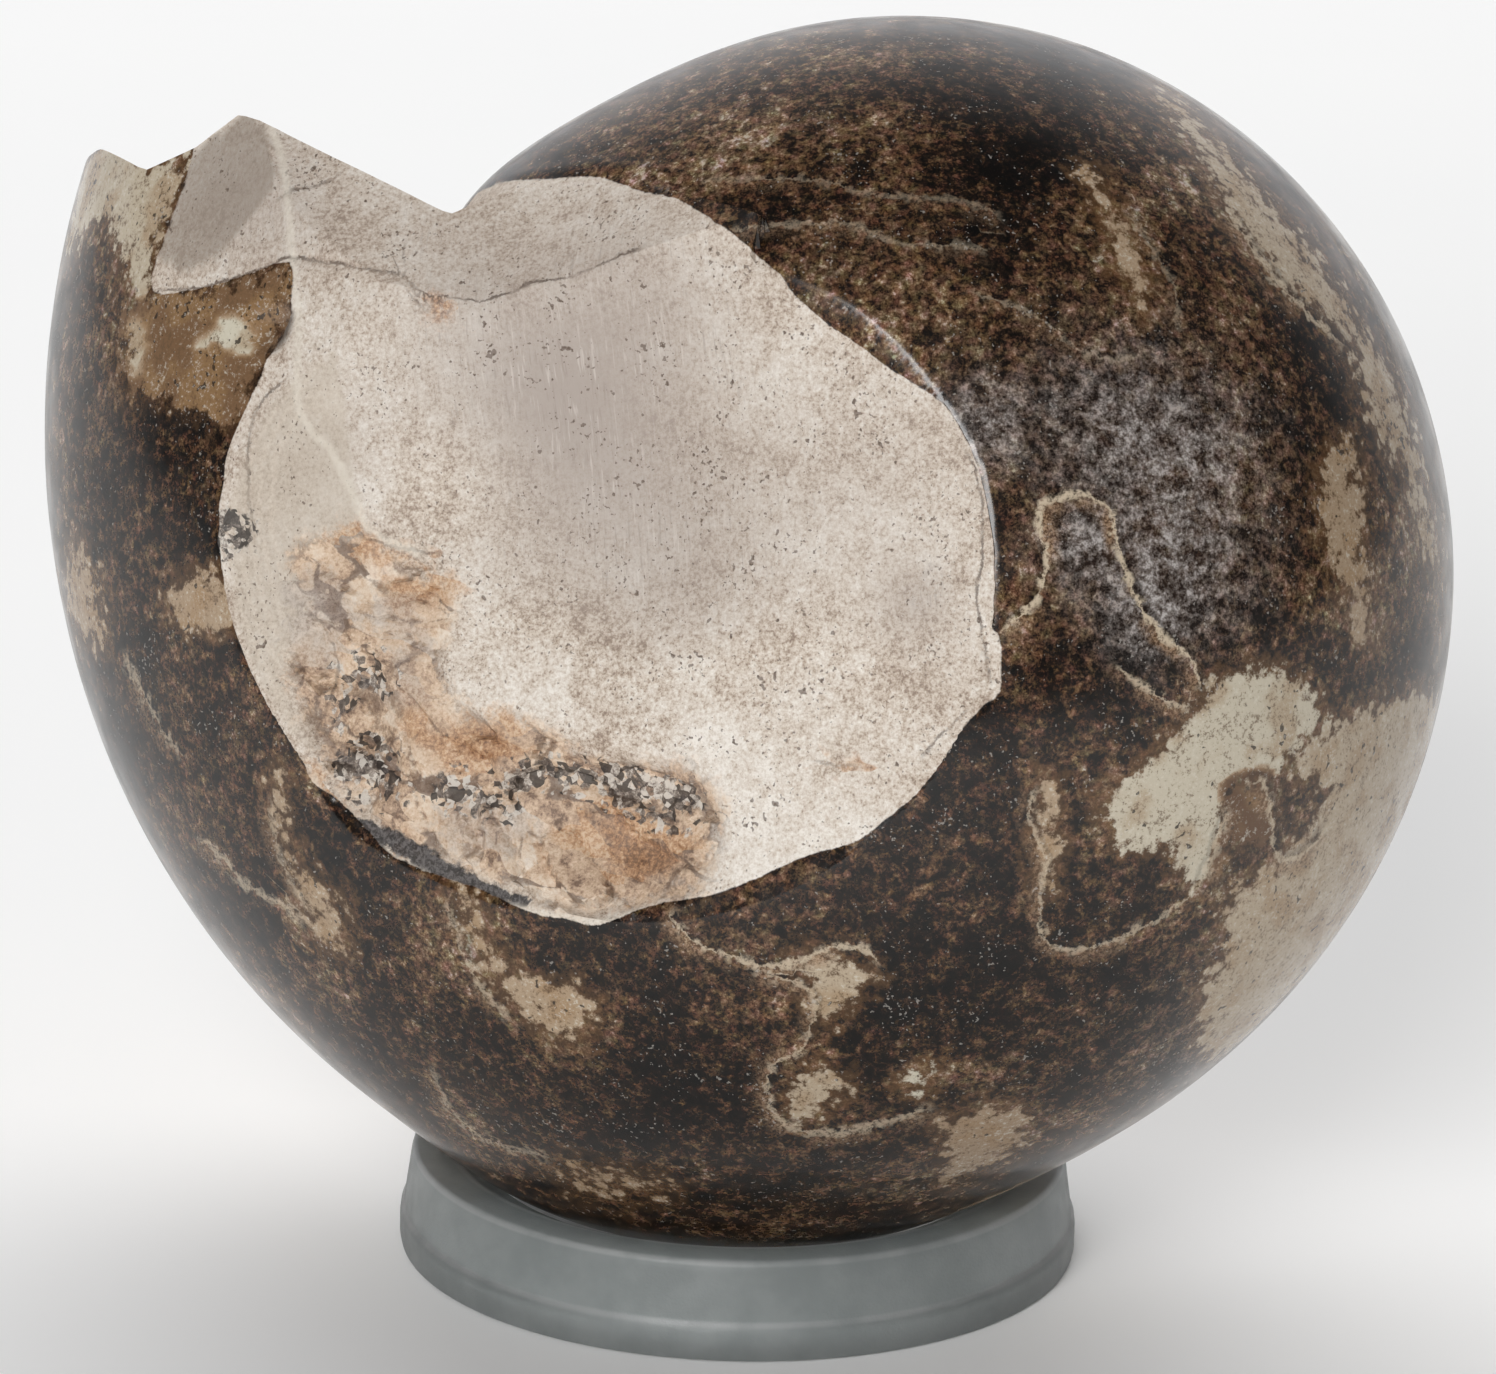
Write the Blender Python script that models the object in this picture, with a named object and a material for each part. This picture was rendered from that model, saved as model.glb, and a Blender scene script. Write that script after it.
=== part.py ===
"""A polished fossil ammonite, broken at its mouth and ground flat there, on a clear display ring."""
import math

import bmesh
import bpy
import numpy as np

# Shell: a coil that widens as it turns. Lengths are metres and angles are radians.
SHELL_CENTRE = np.array((0.0068, -0.00116, 0.0418))
COIL_YAW, COIL_PITCH = math.radians(21.3), math.radians(25.2)
MOUTH_ANGLE = math.radians(142.5)
MOUTH_RADIUS = 0.02385
GROWTH = 0.1223
UMBILICUS_RADIUS = 0.0289
FLANK_POWER = 2.4
FLANK_SWELL = 0.017
MOUTH_SWELL = 0.075
MOUTH_SWELL_SPREAD = 0.42
LIP_RISE = 0.023
LIP_SPREAD = 0.30
COIL_SWAY = 0.014
COIL_OVAL = 0.0033
OVERLAP_START, OVERLAP_END = math.radians(300), math.radians(70)
BELLY_FACING = (45.0, -65.0)
BELLY_RISE = 0.0010
BELLY_SPREAD = math.radians(35)

# Ground and broken facets: the yaw and pitch that each one faces, and its distance from the centre.
MAIN_FACE = (20.0, 16.3, 0.02616)
LEFT_FACET = (29.6, 13.4, 0.02910)
RIM_CHIP = (28.5, 3.0, 0.03120)
INNER_STEP = (45.05, 52.68, 0.02885)
BLOCK_STEP = (15.64, 52.02, 0.02585)
BLOCK_SIDE = (53.65, 28.54, 0.03656)

# Broken end of the last whorl: a rough plane through the notch, with a profile along its edge.
NOTCH = np.array((-0.02269, -0.01125, 0.01957))
BREAK_FACING = (-125.8, 54.9)
BREAK_EDGE_FACING = (123.9, 13.7)
BREAK_SLOPE = 0.05
BREAK_ALONG = np.array((-30, -12, -9, -5, -2, 0, 15, 17.4, 20.2, 26, 34)) * 0.001
BREAK_DROP = np.array((-8, -6.4, -6, -4.9, -2.9, 0, 0, 2.8, 4.7, 4.0, 4.6)) * 0.001

# Hollows worn in the ground face: centre, half-length, half-height and depth.
TROUGH = ((-0.0143, -0.0212, 0.0083), 0.0085, 0.0096, 0.0012)
POCKET = ((-0.0136, -0.0269, -0.0093), 0.0054, 0.0034, 0.0012)
RIM_HOLLOW = ((-0.0273, -0.0211, -0.0067), 0.0025, 0.0040, 0.0008)

# The stone's mesh is a net of rays from a point inside it.
RAY_CENTRE = np.array((-0.0118, -0.0089, -0.0108))
RAY_CELLS = 26
RAY_REACH = 0.075
RAY_STEPS = 75
HALVINGS = 30

# Display ring.
RING_X, RING_Y = 0.0007, -0.00436
RING_SEGMENTS = 84
RING_BORE = 0.0140
RING_SEAT = 0.0158
RING_SEAT_DEPTH = 0.0010
RING_FOOT = 0.0190
RING_TOP = 0.0178
RING_HEIGHT = 0.0057
RING_BAND = 0.0026
RING_EDGE = 0.0005

SHARP_ANGLE = math.radians(25)


def facing(yaw, pitch):
    """Unit vector that leans up by pitch and turns from -Y towards -X by yaw, both in degrees."""
    yaw, pitch = math.radians(yaw), math.radians(pitch)
    return np.array((-math.sin(yaw) * math.cos(pitch), -math.cos(yaw) * math.cos(pitch), math.sin(pitch)))


COIL_AXIS = facing(math.degrees(COIL_YAW), math.degrees(COIL_PITCH))
COIL_SIDE = np.array((1.0, 0.0, 0.0)) - COIL_AXIS * COIL_AXIS[0]
COIL_SIDE /= np.linalg.norm(COIL_SIDE)
COIL_UP = np.cross(COIL_AXIS, COIL_SIDE)

BREAK_NORMAL = facing(*BREAK_FACING)
BREAK_EDGE = facing(*BREAK_EDGE_FACING)
BREAK_EDGE -= BREAK_NORMAL * (BREAK_EDGE @ BREAK_NORMAL)
BREAK_EDGE /= np.linalg.norm(BREAK_EDGE)
BREAK_DEPTH = np.cross(BREAK_EDGE, BREAK_NORMAL)


def whorl_radius(turn, lean):
    """Distance from the centre to the shell, turn radians after the mouth and lean radians off its plane."""
    sway = COIL_SWAY * np.sin(turn) + COIL_OVAL * (np.cos(2 * turn) - 1)
    lip = LIP_RISE * np.exp(-(turn / LIP_SPREAD) ** 2)
    venter = MOUTH_RADIUS * np.exp(GROWTH * turn + sway + lip)
    share = np.clip(np.cos(lean), 0, 1) ** FLANK_POWER
    mouth_side = (lean > 0) * MOUTH_SWELL * np.exp(-(turn / MOUTH_SWELL_SPREAD) ** 2)
    swell = (FLANK_SWELL + mouth_side) * np.sin(2 * lean) ** 2
    return UMBILICUS_RADIUS * np.exp(share * np.log(venter / UMBILICUS_RADIUS) + swell)


def above_plane(points, plane):
    """Height of points over a facet's plane."""
    yaw, pitch, distance = plane
    return points @ facing(yaw, pitch) - distance


def above_break(points):
    """Height of points over the broken end of the last whorl."""
    offset = points - NOTCH
    drop = np.interp(offset @ BREAK_EDGE, BREAK_ALONG, BREAK_DROP)
    return offset @ BREAK_NORMAL + drop + BREAK_SLOPE * np.maximum(offset @ BREAK_DEPTH, 0)


def hollow_depth(points, hollow):
    """Depth of a smooth hollow that fades out round its centre."""
    centre, half_length, half_height, depth = hollow
    offset = points - np.array(centre)
    face = facing(*MAIN_FACE[:2])
    across = np.cross((0.0, 0.0, 1.0), face)
    across /= np.linalg.norm(across)
    up = np.cross(face, across)
    spread = (offset @ across / half_length) ** 2 + (offset @ up / half_height) ** 2
    return depth * np.exp(-spread ** 1.5) * (np.abs(offset @ face) < 2 * half_length)


def stone(points):
    """Signed height of points over the stone's surface, and the number of the facet that bounds them."""
    reach = np.linalg.norm(points, axis=1)
    unit = points / reach[:, None]
    turn = (MOUTH_ANGLE - np.arctan2(unit @ COIL_UP, unit @ COIL_SIDE)) % (2 * math.pi)
    lean = np.arcsin(np.clip(unit @ COIL_AXIS, -1, 1))
    late = turn > math.pi
    last_whorl = reach - whorl_radius(np.where(late, turn, turn + 2 * math.pi), lean)
    earlier_whorl = reach - whorl_radius(np.where(late, turn - 2 * math.pi, turn), lean)
    whorl = reach - whorl_radius(turn, lean)

    block = np.stack((last_whorl, above_break(points), above_plane(points, BLOCK_SIDE)))
    overlap = (turn < OVERLAP_END) | (turn > OVERLAP_START)
    on_block = overlap & (block.max(axis=0) < earlier_whorl)
    shell = np.where(on_block, block.max(axis=0), np.where(overlap, earlier_whorl, whorl))
    shell_facet = np.where(on_block, block.argmax(axis=0), 0)

    steps = np.stack((above_plane(points, INNER_STEP), above_plane(points, BLOCK_STEP)))
    cuts = np.stack([shell, steps.min(axis=0)]
                    + [above_plane(points, plane) for plane in (MAIN_FACE, LEFT_FACET, RIM_CHIP)])
    nearest = cuts.argmax(axis=0)
    facet = np.where(nearest == 0, shell_facet, nearest + 3 + (nearest == 1) * (3 + steps.argmin(axis=0)))
    belly_turn = np.arccos(np.clip(unit @ facing(*BELLY_FACING), -1, 1))
    belly = BELLY_RISE * np.exp(-(belly_turn / BELLY_SPREAD) ** 2)
    worn = sum(hollow_depth(points, hollow) for hollow in (TROUGH, POCKET, RIM_HOLLOW))
    return cuts.max(axis=0) + worn - belly, facet


def stone_surface(rays):
    """Where each ray from the ray centre leaves the stone, and the facet there."""
    outside = np.full(len(rays), RAY_REACH)
    inside = np.zeros(len(rays))
    for distance in np.linspace(RAY_REACH, 0, RAY_STEPS, endpoint=False):
        open_rays = inside == 0
        height, _ = stone(RAY_CENTRE + rays[open_rays] * distance)
        hit = np.flatnonzero(open_rays)[height < 0]
        inside[hit] = distance
        outside[np.flatnonzero(open_rays)[height >= 0]] = distance
    for _ in range(HALVINGS):
        middle = (inside + outside) / 2
        height, _ = stone(RAY_CENTRE + rays * middle[:, None])
        inside = np.where(height < 0, middle, inside)
        outside = np.where(height < 0, outside, middle)
    points = RAY_CENTRE + rays * outside[:, None]
    return points, stone(points)[1]


def unit_rows(rows):
    return rows / np.linalg.norm(rows, axis=1)[:, None]


def snap_to_creases(rays, edges, fixed):
    """Turn the rays nearest to a crease onto it, so that mesh edges follow the facets' edges."""
    facets = stone_surface(rays)[1]
    crossing = (facets[edges[:, 0]] != facets[edges[:, 1]]) & ~fixed[edges].any(axis=1)
    ends = edges[crossing]
    low, high = np.zeros(len(ends)), np.ones(len(ends))
    start, finish = rays[ends[:, 0]], rays[ends[:, 1]]
    for _ in range(HALVINGS // 2):
        middle = (low + high) / 2
        between = unit_rows(start + (finish - start) * middle[:, None])
        same = stone_surface(between)[1] == facets[ends[:, 0]]
        low, high = np.where(same, middle, low), np.where(same, high, middle)
    share = np.minimum(high, 1 - high)
    mover = np.where(high < 0.5, ends[:, 0], ends[:, 1])
    target = unit_rows(start + (finish - start) * high[:, None])
    for index in np.argsort(share):
        if not fixed[mover[index]]:
            rays[mover[index]] = target[index]
            fixed[mover[index]] = True


def ray_net():
    """A cube of small squares, whose vertices give evenly spread directions."""
    net = bmesh.new()
    bmesh.ops.create_cube(net, size=2)
    bmesh.ops.subdivide_edges(net, edges=net.edges[:], cuts=RAY_CELLS - 1, use_grid_fill=True)
    net.verts.index_update()
    corners = np.array([vertex.co[:] for vertex in net.verts])
    return net, unit_rows(np.tan(corners * math.pi / 4))


def split_along_creases(net, on_crease):
    """Cut each square in two, along the crease where it crosses the square."""
    for face in net.faces[:]:
        first, second, third, fourth = face.verts
        crease_one = on_crease[first.index] + on_crease[third.index]
        crease_two = on_crease[second.index] + on_crease[fourth.index]
        shorter_one = (first.co - third.co).length < (second.co - fourth.co).length
        if crease_one > crease_two or (crease_one == crease_two and shorter_one):
            bmesh.utils.face_split(face, first, third)
        else:
            bmesh.utils.face_split(face, second, fourth)


def add_object(name, mesh_builder, material):
    """Turn a bmesh into a smooth-shaded object with its material."""
    mesh = bpy.data.meshes.new(name)
    mesh_builder.to_mesh(mesh)
    mesh_builder.free()
    mesh.shade_smooth()
    mesh.set_sharp_from_angle(angle=SHARP_ANGLE)
    mesh.materials.append(material)
    piece = bpy.data.objects.new(name, mesh)
    bpy.context.scene.collection.objects.link(piece)
    return piece


def make_material(name, colour, roughness, transmission=0.0):
    material = bpy.data.materials.new(name)
    material.use_nodes = True
    shader = material.node_tree.nodes["Principled BSDF"]
    shader.inputs["Base Color"].default_value = (*colour, 1.0)
    shader.inputs["Roughness"].default_value = roughness
    shader.inputs["Metallic"].default_value = 0.0
    shader.inputs["Transmission Weight"].default_value = transmission
    return material


def build_ammonite(material):
    net, rays = ray_net()
    edges = np.array([[vertex.index for vertex in edge.verts] for edge in net.edges])
    on_crease = np.zeros(len(rays), dtype=bool)
    for _ in range(2):
        snap_to_creases(rays, edges, on_crease)
    points, _ = stone_surface(rays)
    for vertex, point in zip(net.verts, points):
        vertex.co = point
    split_along_creases(net, on_crease)
    bmesh.ops.recalc_face_normals(net, faces=net.faces[:])
    ammonite = add_object("ammonite", net, material)
    ammonite.location = SHELL_CENTRE


def ring_profile():
    """Outline of the ring's wall, as radius and height, from the foot's inner edge round and up."""
    band_radius = RING_FOOT - (RING_FOOT - RING_TOP) * 0.25
    return (
        (RING_BORE + RING_EDGE, 0.0),
        (RING_FOOT - RING_EDGE, 0.0),
        (RING_FOOT, RING_EDGE),
        (RING_FOOT, RING_BAND * 0.6),
        (band_radius, RING_BAND),
        (RING_TOP, RING_HEIGHT - RING_EDGE),
        (RING_TOP - RING_EDGE, RING_HEIGHT),
        (RING_SEAT, RING_HEIGHT),
        (RING_BORE, RING_HEIGHT - RING_SEAT_DEPTH),
        (RING_BORE, RING_EDGE),
    )


def build_display_ring(material):
    ring = bmesh.new()
    outline = [ring.verts.new((radius, 0.0, height)) for radius, height in ring_profile()]
    loop = [ring.edges.new(pair) for pair in zip(outline, outline[1:] + outline[:1])]
    bmesh.ops.spin(ring, geom=outline + loop, axis=(0, 0, 1), angle=2 * math.pi, steps=RING_SEGMENTS,
                   use_merge=True)
    bmesh.ops.triangulate(ring, faces=ring.faces[:])
    bmesh.ops.recalc_face_normals(ring, faces=ring.faces[:])
    display_ring = add_object("display_ring", ring, material)
    display_ring.location = (RING_X, RING_Y, 0.0)


def main():
    for old in list(bpy.data.objects):
        bpy.data.objects.remove(old)
    build_ammonite(make_material("fossil_stone", (0.11, 0.085, 0.065), 0.4))
    build_display_ring(make_material("frosted_plastic", (0.42, 0.44, 0.42), 0.45, 0.7))


main()
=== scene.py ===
"""Looks of the fossil ammonite on its display ring: fine meshes, procedural materials, light and camera."""

import math

import bmesh
import bpy
import numpy as np
from mathutils import Matrix, Vector, noise


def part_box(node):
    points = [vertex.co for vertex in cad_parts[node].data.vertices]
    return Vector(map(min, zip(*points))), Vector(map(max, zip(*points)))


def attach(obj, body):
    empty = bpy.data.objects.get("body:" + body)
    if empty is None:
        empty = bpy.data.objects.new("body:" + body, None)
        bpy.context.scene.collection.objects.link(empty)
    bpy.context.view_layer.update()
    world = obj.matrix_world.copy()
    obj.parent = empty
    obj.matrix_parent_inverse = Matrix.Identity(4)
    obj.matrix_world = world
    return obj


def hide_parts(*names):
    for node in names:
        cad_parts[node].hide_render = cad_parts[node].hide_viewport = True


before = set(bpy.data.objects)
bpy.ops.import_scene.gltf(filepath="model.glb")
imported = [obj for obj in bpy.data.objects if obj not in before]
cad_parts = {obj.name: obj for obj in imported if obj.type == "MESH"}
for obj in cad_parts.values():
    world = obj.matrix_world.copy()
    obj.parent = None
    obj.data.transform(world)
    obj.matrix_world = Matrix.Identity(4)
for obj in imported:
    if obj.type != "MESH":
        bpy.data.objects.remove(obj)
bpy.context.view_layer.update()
MM = 0.001

# Shell, facets and hollows: the part's own dimensions, in metres and radians.
SHELL_CENTRE = np.array((0.0068, -0.00116, 0.0418))
COIL_YAW, COIL_PITCH = math.radians(21.3), math.radians(25.2)
MOUTH_ANGLE = math.radians(142.5)
MOUTH_RADIUS = 0.02385
GROWTH = 0.1223
UMBILICUS_RADIUS = 0.0289
FLANK_POWER = 2.4
FLANK_SWELL = 0.017
MOUTH_SWELL = 0.075
MOUTH_SWELL_SPREAD = 0.42
LIP_RISE = 0.023
LIP_SPREAD = 0.30
COIL_SWAY = 0.014
COIL_OVAL = 0.0033
OVERLAP_START, OVERLAP_END = math.radians(300), math.radians(70)
BELLY_FACING = (45.0, -65.0)
BELLY_RISE = 0.0010
BELLY_SPREAD = math.radians(35)
MAIN_FACE = (20.0, 16.3, 0.02616)
LEFT_FACET = (29.6, 13.4, 0.02910)
RIM_CHIP = (28.5, 3.0, 0.03120)
INNER_STEP = (45.05, 52.68, 0.02885)
BLOCK_STEP = (15.64, 52.02, 0.02585)
BLOCK_SIDE = (53.65, 28.54, 0.03656)
NOTCH = np.array((-0.02269, -0.01125, 0.01957))
BREAK_FACING = (-125.8, 54.9)
BREAK_EDGE_FACING = (123.9, 13.7)
BREAK_SLOPE = 0.05
BREAK_ALONG = np.array((-30, -12, -9, -5, -2, 0, 15, 17.4, 20.2, 26, 34)) * MM
BREAK_DROP = np.array((-8, -6.4, -6, -4.9, -2.9, 0, 0, 2.8, 4.7, 4.0, 4.6)) * MM
TROUGH = ((-0.0143, -0.0212, 0.0083), 0.0085, 0.0096, 0.0012)
POCKET = ((-0.0136, -0.0269, -0.0093), 0.0054, 0.0034, 0.0012)
RIM_HOLLOW = ((-0.0273, -0.0211, -0.0067), 0.0025, 0.0040, 0.0008)
# Where the belly swells down to the ring's front rim: middle, reach to either side and along, height in mm.
SEAT_SWELL = (np.array((-0.002, -0.0150, 0.0055)), 0.0155, 0.0064, 1.15)
SHELL, BREAK, SIDE, INNER, MAIN, LEFT, CHIP, BLOCK = range(8)

# The stone's mesh is a net of rays from a point inside it. The net's own centre lies nearer to the ground
# face, so that its cells are smallest there.
RAY_CENTRE = np.array((-0.0118, -0.0089, -0.0108))
RAY_REACH = 0.075
RAY_STEPS = 60
HALVINGS = 22
NET_CELLS = 127
NET_CENTRE = np.array((-0.001, -0.012, 0.002))
NET_RADIUS = 0.036

# Display ring.
RING_X, RING_Y = 0.0007, -0.00436
RING_SEGMENTS = 360
RING_BORE = 0.0140
RING_SEAT = 0.0158
RING_SEAT_DEPTH = 0.0010
RING_FOOT = 0.0190
RING_TOP = 0.0178
RING_HEIGHT = 0.0057
RING_BAND = 0.0026
RING_EDGE = 0.0005
RING_STEP = 0.00215
RING_WALL_SPREAD = 0.0005

# Camera: places in the photo are pixels of its 1496 x 1374 frame.
PHOTO_WIDTH, PHOTO_HEIGHT = 1496, 1374
CAMERA_PLACE = np.array((0.000615, -0.471872, 0.179998))
CAMERA_PITCH = math.radians(17.5)
CAMERA_ROLL = math.radians(1.3)
FOCAL_PIXELS = 8865.0
SENSOR_WIDTH = 36.0

# Light: the direction of the dark room, how bright the white side and the room are, and where one fades into
# the other. Each lamp has a place, a size, a power in watts, and whether the stone mirrors it.
ROOM_SIDE = (0.0, -0.98, 0.17)
WHITE_STRENGTH, ROOM_STRENGTH = 0.90, 0.09
ROOM_FADE = (-0.9, -0.15)
LIGHT_TARGET = (0.0, 0.0, 0.035)
LAMPS = {
    "key": ((-0.28, -0.95, 0.50), (0.5, 0.5), 8.2, True),
    "rear": ((0.0, 0.9, 1.0), (1.8, 0.8), 15.0, False),
}

# Chamber walls of the unseen sides: the turn between them, and how far their frills reach in metres.
SUTURE_SPACING = math.radians(19)
SUTURE_FRILL = 0.0016

# Traced features: the photo's scale at the stone, a traced field's reach in mm, and steps between points.
MM_PER_PIXEL = 0.0564
FAR_FIELD = 3.0
CURVE_STEPS = 4

# Outline of the pale ground stone, with the block that stands on its upper left corner.
GROUND = (
    (450, 205), (500, 182), (530, 180), (570, 176), (605, 178), (635, 189), (665, 195), (690, 205),
    (715, 222), (740, 240), (760, 258), (780, 275), (795, 296), (830, 328), (850, 343), (885, 375),
    (920, 402), (940, 420), (960, 445), (970, 465), (982, 520), (988, 560), (990, 620), (1000, 640),
    (1000, 690), (985, 705), (970, 720), (945, 750), (935, 765), (910, 798), (895, 812), (875, 828),
    (850, 843), (800, 858), (740, 885), (700, 897), (650, 905), (600, 925), (570, 920), (530, 912),
    (480, 890), (450, 880), (400, 860), (380, 845), (350, 812), (330, 790), (310, 775), (300, 740),
    (290, 715), (265, 660), (243, 610), (232, 560), (224, 540), (225, 500), (229, 450), (243, 415),
    (258, 380), (275, 340), (285, 320), (290, 310), (290, 262), (250, 272), (200, 287), (150, 290),
    (165, 235), (172, 215), (183, 185), (190, 160), (200, 140), (215, 105), (240, 95), (270, 100),
    (460, 190),
)

# The ground stone spreads to the edge of the ground planes, by this many mm, between these photo heights.
GROUND_SPREAD = 1.2
GROUND_REACH_TOP = (300, 470)
GROUND_REACH_END = (810, 740)

# Tan and cream patches of the polished shell: how pale each is, from brown 0 to cream 1, and its outline.
PATCHES = (
    (0.25, ((122, 300), (150, 290), (200, 287), (250, 272), (290, 262), (288, 310), (275, 340), (258, 380),
        (243, 415), (238, 428), (225, 430), (180, 410), (150, 400), (125, 405), (118, 380), (120, 330))),
    (0.85, ((80, 130), (120, 125), (150, 165), (200, 145), (190, 165), (183, 185), (172, 215), (165, 235),
        (150, 290), (135, 298), (128, 285), (120, 262), (108, 232), (92, 225), (72, 250), (60, 240),
        (70, 180))),
    (0.95, ((215, 330), (222, 315), (245, 318), (252, 340), (248, 355), (218, 348))),
    (0.9, ((192, 350), (205, 332), (215, 330), (213, 345), (200, 352))),
    (0.85, ((127, 325), (140, 316), (147, 330), (143, 370), (134, 377), (127, 365))),
    (0.7, ((75, 540), (95, 575), (100, 610), (105, 640), (90, 650), (70, 620), (62, 580))),
    (0.7, ((165, 610), (170, 590), (185, 575), (200, 568), (215, 570), (228, 580), (240, 620), (225, 635),
        (200, 635), (180, 628))),
    (0.72, ((275, 770), (285, 780), (288, 830), (300, 860), (335, 895), (345, 915), (345, 955), (320, 945),
        (305, 925), (290, 865), (278, 840), (270, 790))),
    (0.9, ((1200, 700), (1215, 680), (1250, 670), (1290, 675), (1320, 700), (1330, 720), (1290, 760),
        (1260, 790), (1230, 790), (1225, 830), (1215, 870), (1190, 890), (1170, 850), (1120, 850),
        (1095, 810), (1110, 790), (1150, 760), (1180, 730))),
    (0.8, ((1330, 725), (1420, 690), (1450, 720), (1430, 800), (1390, 880), (1330, 960), (1260, 1040),
        (1205, 1060), (1200, 1000), (1222, 950), (1228, 895), (1275, 860), (1330, 800), (1290, 765),
        (1318, 735))),
    (0.05, ((1222, 785), (1250, 770), (1275, 775), (1280, 830), (1262, 850), (1240, 850), (1222, 880),
        (1212, 860), (1225, 820))),
    (0.8, ((1150, 85), (1172, 90), (1210, 130), (1260, 190), (1320, 260), (1380, 350), (1420, 450),
        (1440, 560), (1425, 560), (1400, 470), (1370, 420), (1350, 345), (1300, 300), (1262, 258),
        (1228, 205), (1190, 140))),
    (0.72, ((1080, 165), (1095, 175), (1110, 195), (1125, 220), (1145, 262), (1148, 290), (1145, 320),
        (1130, 290), (1112, 262), (1108, 240), (1095, 205))),
    (0.72, ((1345, 430), (1360, 470), (1365, 540), (1370, 600), (1372, 640), (1358, 640), (1340, 585),
        (1322, 530), (1322, 470))),
    (0.74, ((1035, 780), (1060, 785), (1055, 830), (1062, 850), (1058, 880), (1045, 895), (1033, 860),
        (1040, 820))),
    (0.8, ((790, 955), (830, 950), (850, 962), (880, 975), (850, 1000), (828, 1030), (812, 1012),
        (810, 985))),
    (0.8, ((788, 1100), (800, 1075), (840, 1070), (852, 1085), (830, 1105), (800, 1122))),
    (0.66, ((935, 1120), (960, 1115), (1000, 1105), (1030, 1120), (1015, 1150), (985, 1170), (940, 1185),
        (945, 1150))),
    (1.0, ((905, 1078), (915, 1068), (932, 1070), (936, 1082), (925, 1092), (908, 1090))),
    (0.74, ((450, 880), (475, 895), (490, 940), (520, 972), (575, 985), (595, 1010), (585, 1038),
        (550, 1040), (520, 1010), (490, 980), (470, 930))),
    (0.65, ((560, 1160), (610, 1170), (680, 1188), (620, 1192), (575, 1182))),
)

# Light lines of the chamber walls in the polished shell, each with its strength.
CHAMBER_LINES = (
    (0.3, ((720, 232), (780, 225), (850, 224), (900, 243), (950, 244), (1000, 250))),
    (0.25, ((690, 180), (800, 178), (880, 195), (960, 200), (1010, 222))),
    (0.3, ((960, 290), (1000, 300), (1040, 318), (1080, 350), (1120, 360), (1150, 352))),
    (1.0, ((1000, 640), (1010, 625), (1035, 600), (1047, 560), (1040, 510), (1060, 498), (1085, 495),
        (1110, 510), (1122, 560), (1150, 620), (1190, 660), (1205, 695))),
    (0.75, ((1110, 660), (1135, 680), (1165, 700), (1195, 712))),
    (0.6, ((1040, 780), (1030, 820), (1045, 860), (1040, 900), (1045, 940), (1080, 950), (1120, 938),
        (1165, 915), (1200, 885), (1215, 850), (1232, 800))),
    (0.7, ((1240, 790), (1262, 780), (1272, 820), (1280, 860), (1310, 850), (1335, 820))),
    (0.8, ((680, 905), (672, 920), (700, 945), (760, 965), (800, 962), (840, 945), (870, 955), (882, 972))),
    (0.6, ((745, 970), (800, 985), (815, 1010), (800, 1050), (775, 1065), (768, 1095), (785, 1125),
        (830, 1133), (890, 1122), (940, 1105))),
    (0.6, ((190, 835), (215, 850), (245, 885), (280, 905), (310, 930))),
    (0.5, ((120, 645), (135, 680), (150, 705), (165, 735), (190, 765))),
    (0.4, ((270, 790), (275, 840), (290, 880), (310, 920))),
    (0.45, ((440, 890), (455, 930), (470, 970), (500, 1010), (520, 1030))),
    (0.45, ((430, 1060), (450, 1110), (490, 1140), (560, 1160))),
    (0.8, ((1228, 210), (1262, 262), (1300, 305), (1352, 350))),
    (0.3, ((1125, 205), (1150, 245), (1175, 290), (1180, 340))),
)

# Dark cracks in the ground stone, each with its strength.
CRACKS = (
    (1.0, ((147, 290), (200, 287), (250, 272), (290, 258), (350, 265), (400, 272), (415, 285), (430, 297),
        (450, 295), (475, 300), (490, 298), (510, 290), (530, 280), (560, 278), (600, 262), (650, 240))),
    (0.8, ((405, 235), (403, 252), (405, 270))),
    (0.8, ((400, 280), (420, 307), (433, 308))),
    (0.8, ((270, 205), (290, 190), (320, 182), (345, 168))),
    (1.0, ((290, 375), (265, 395), (252, 420), (247, 450), (248, 480), (250, 530))),
    (0.9, ((960, 445), (970, 460), (980, 490), (982, 520), (980, 560), (975, 600), (988, 660), (990, 690))),
    (0.8, ((915, 765), (950, 725), (975, 705))),
    (0.6, ((805, 762), (830, 764), (865, 767))),
    (0.7, ((350, 535), (400, 548), (450, 556))),
    (0.6, ((300, 600), (330, 650), (330, 690), (318, 730))),
)

# Bright lines along the edges of the ground stone, each with its strength: a pale band of shell along the
# upper rim, a painted highlight along the ridges of the block and the left facet, and a pale line along the
# lower rim.
RIM_LINES = (
    (0.8, ((500, 178), (560, 168), (600, 163), (640, 168), (665, 168), (700, 190))),
    (1.0, ((262, 116), (280, 150), (287, 200), (290, 250), (293, 290), (297, 310), (297, 400), (310, 430),
        (330, 450), (345, 480), (355, 500), (370, 530), (430, 560))),
    (1.0, ((305, 765), (325, 800), (345, 826), (372, 846), (405, 866), (445, 886), (490, 903), (540, 914),
        (600, 922), (650, 905))),
)

# Where the ground stone broke instead of grinding smooth.
ROUGH = (
    (300, 560), (350, 535), (400, 545), (440, 575), (450, 620), (440, 665), (455, 700), (520, 720),
    (600, 745), (690, 770), (720, 810), (715, 860), (690, 893), (600, 915), (560, 912), (480, 880),
    (400, 845), (335, 790), (305, 740), (285, 690), (290, 640), (310, 600),
)
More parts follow.
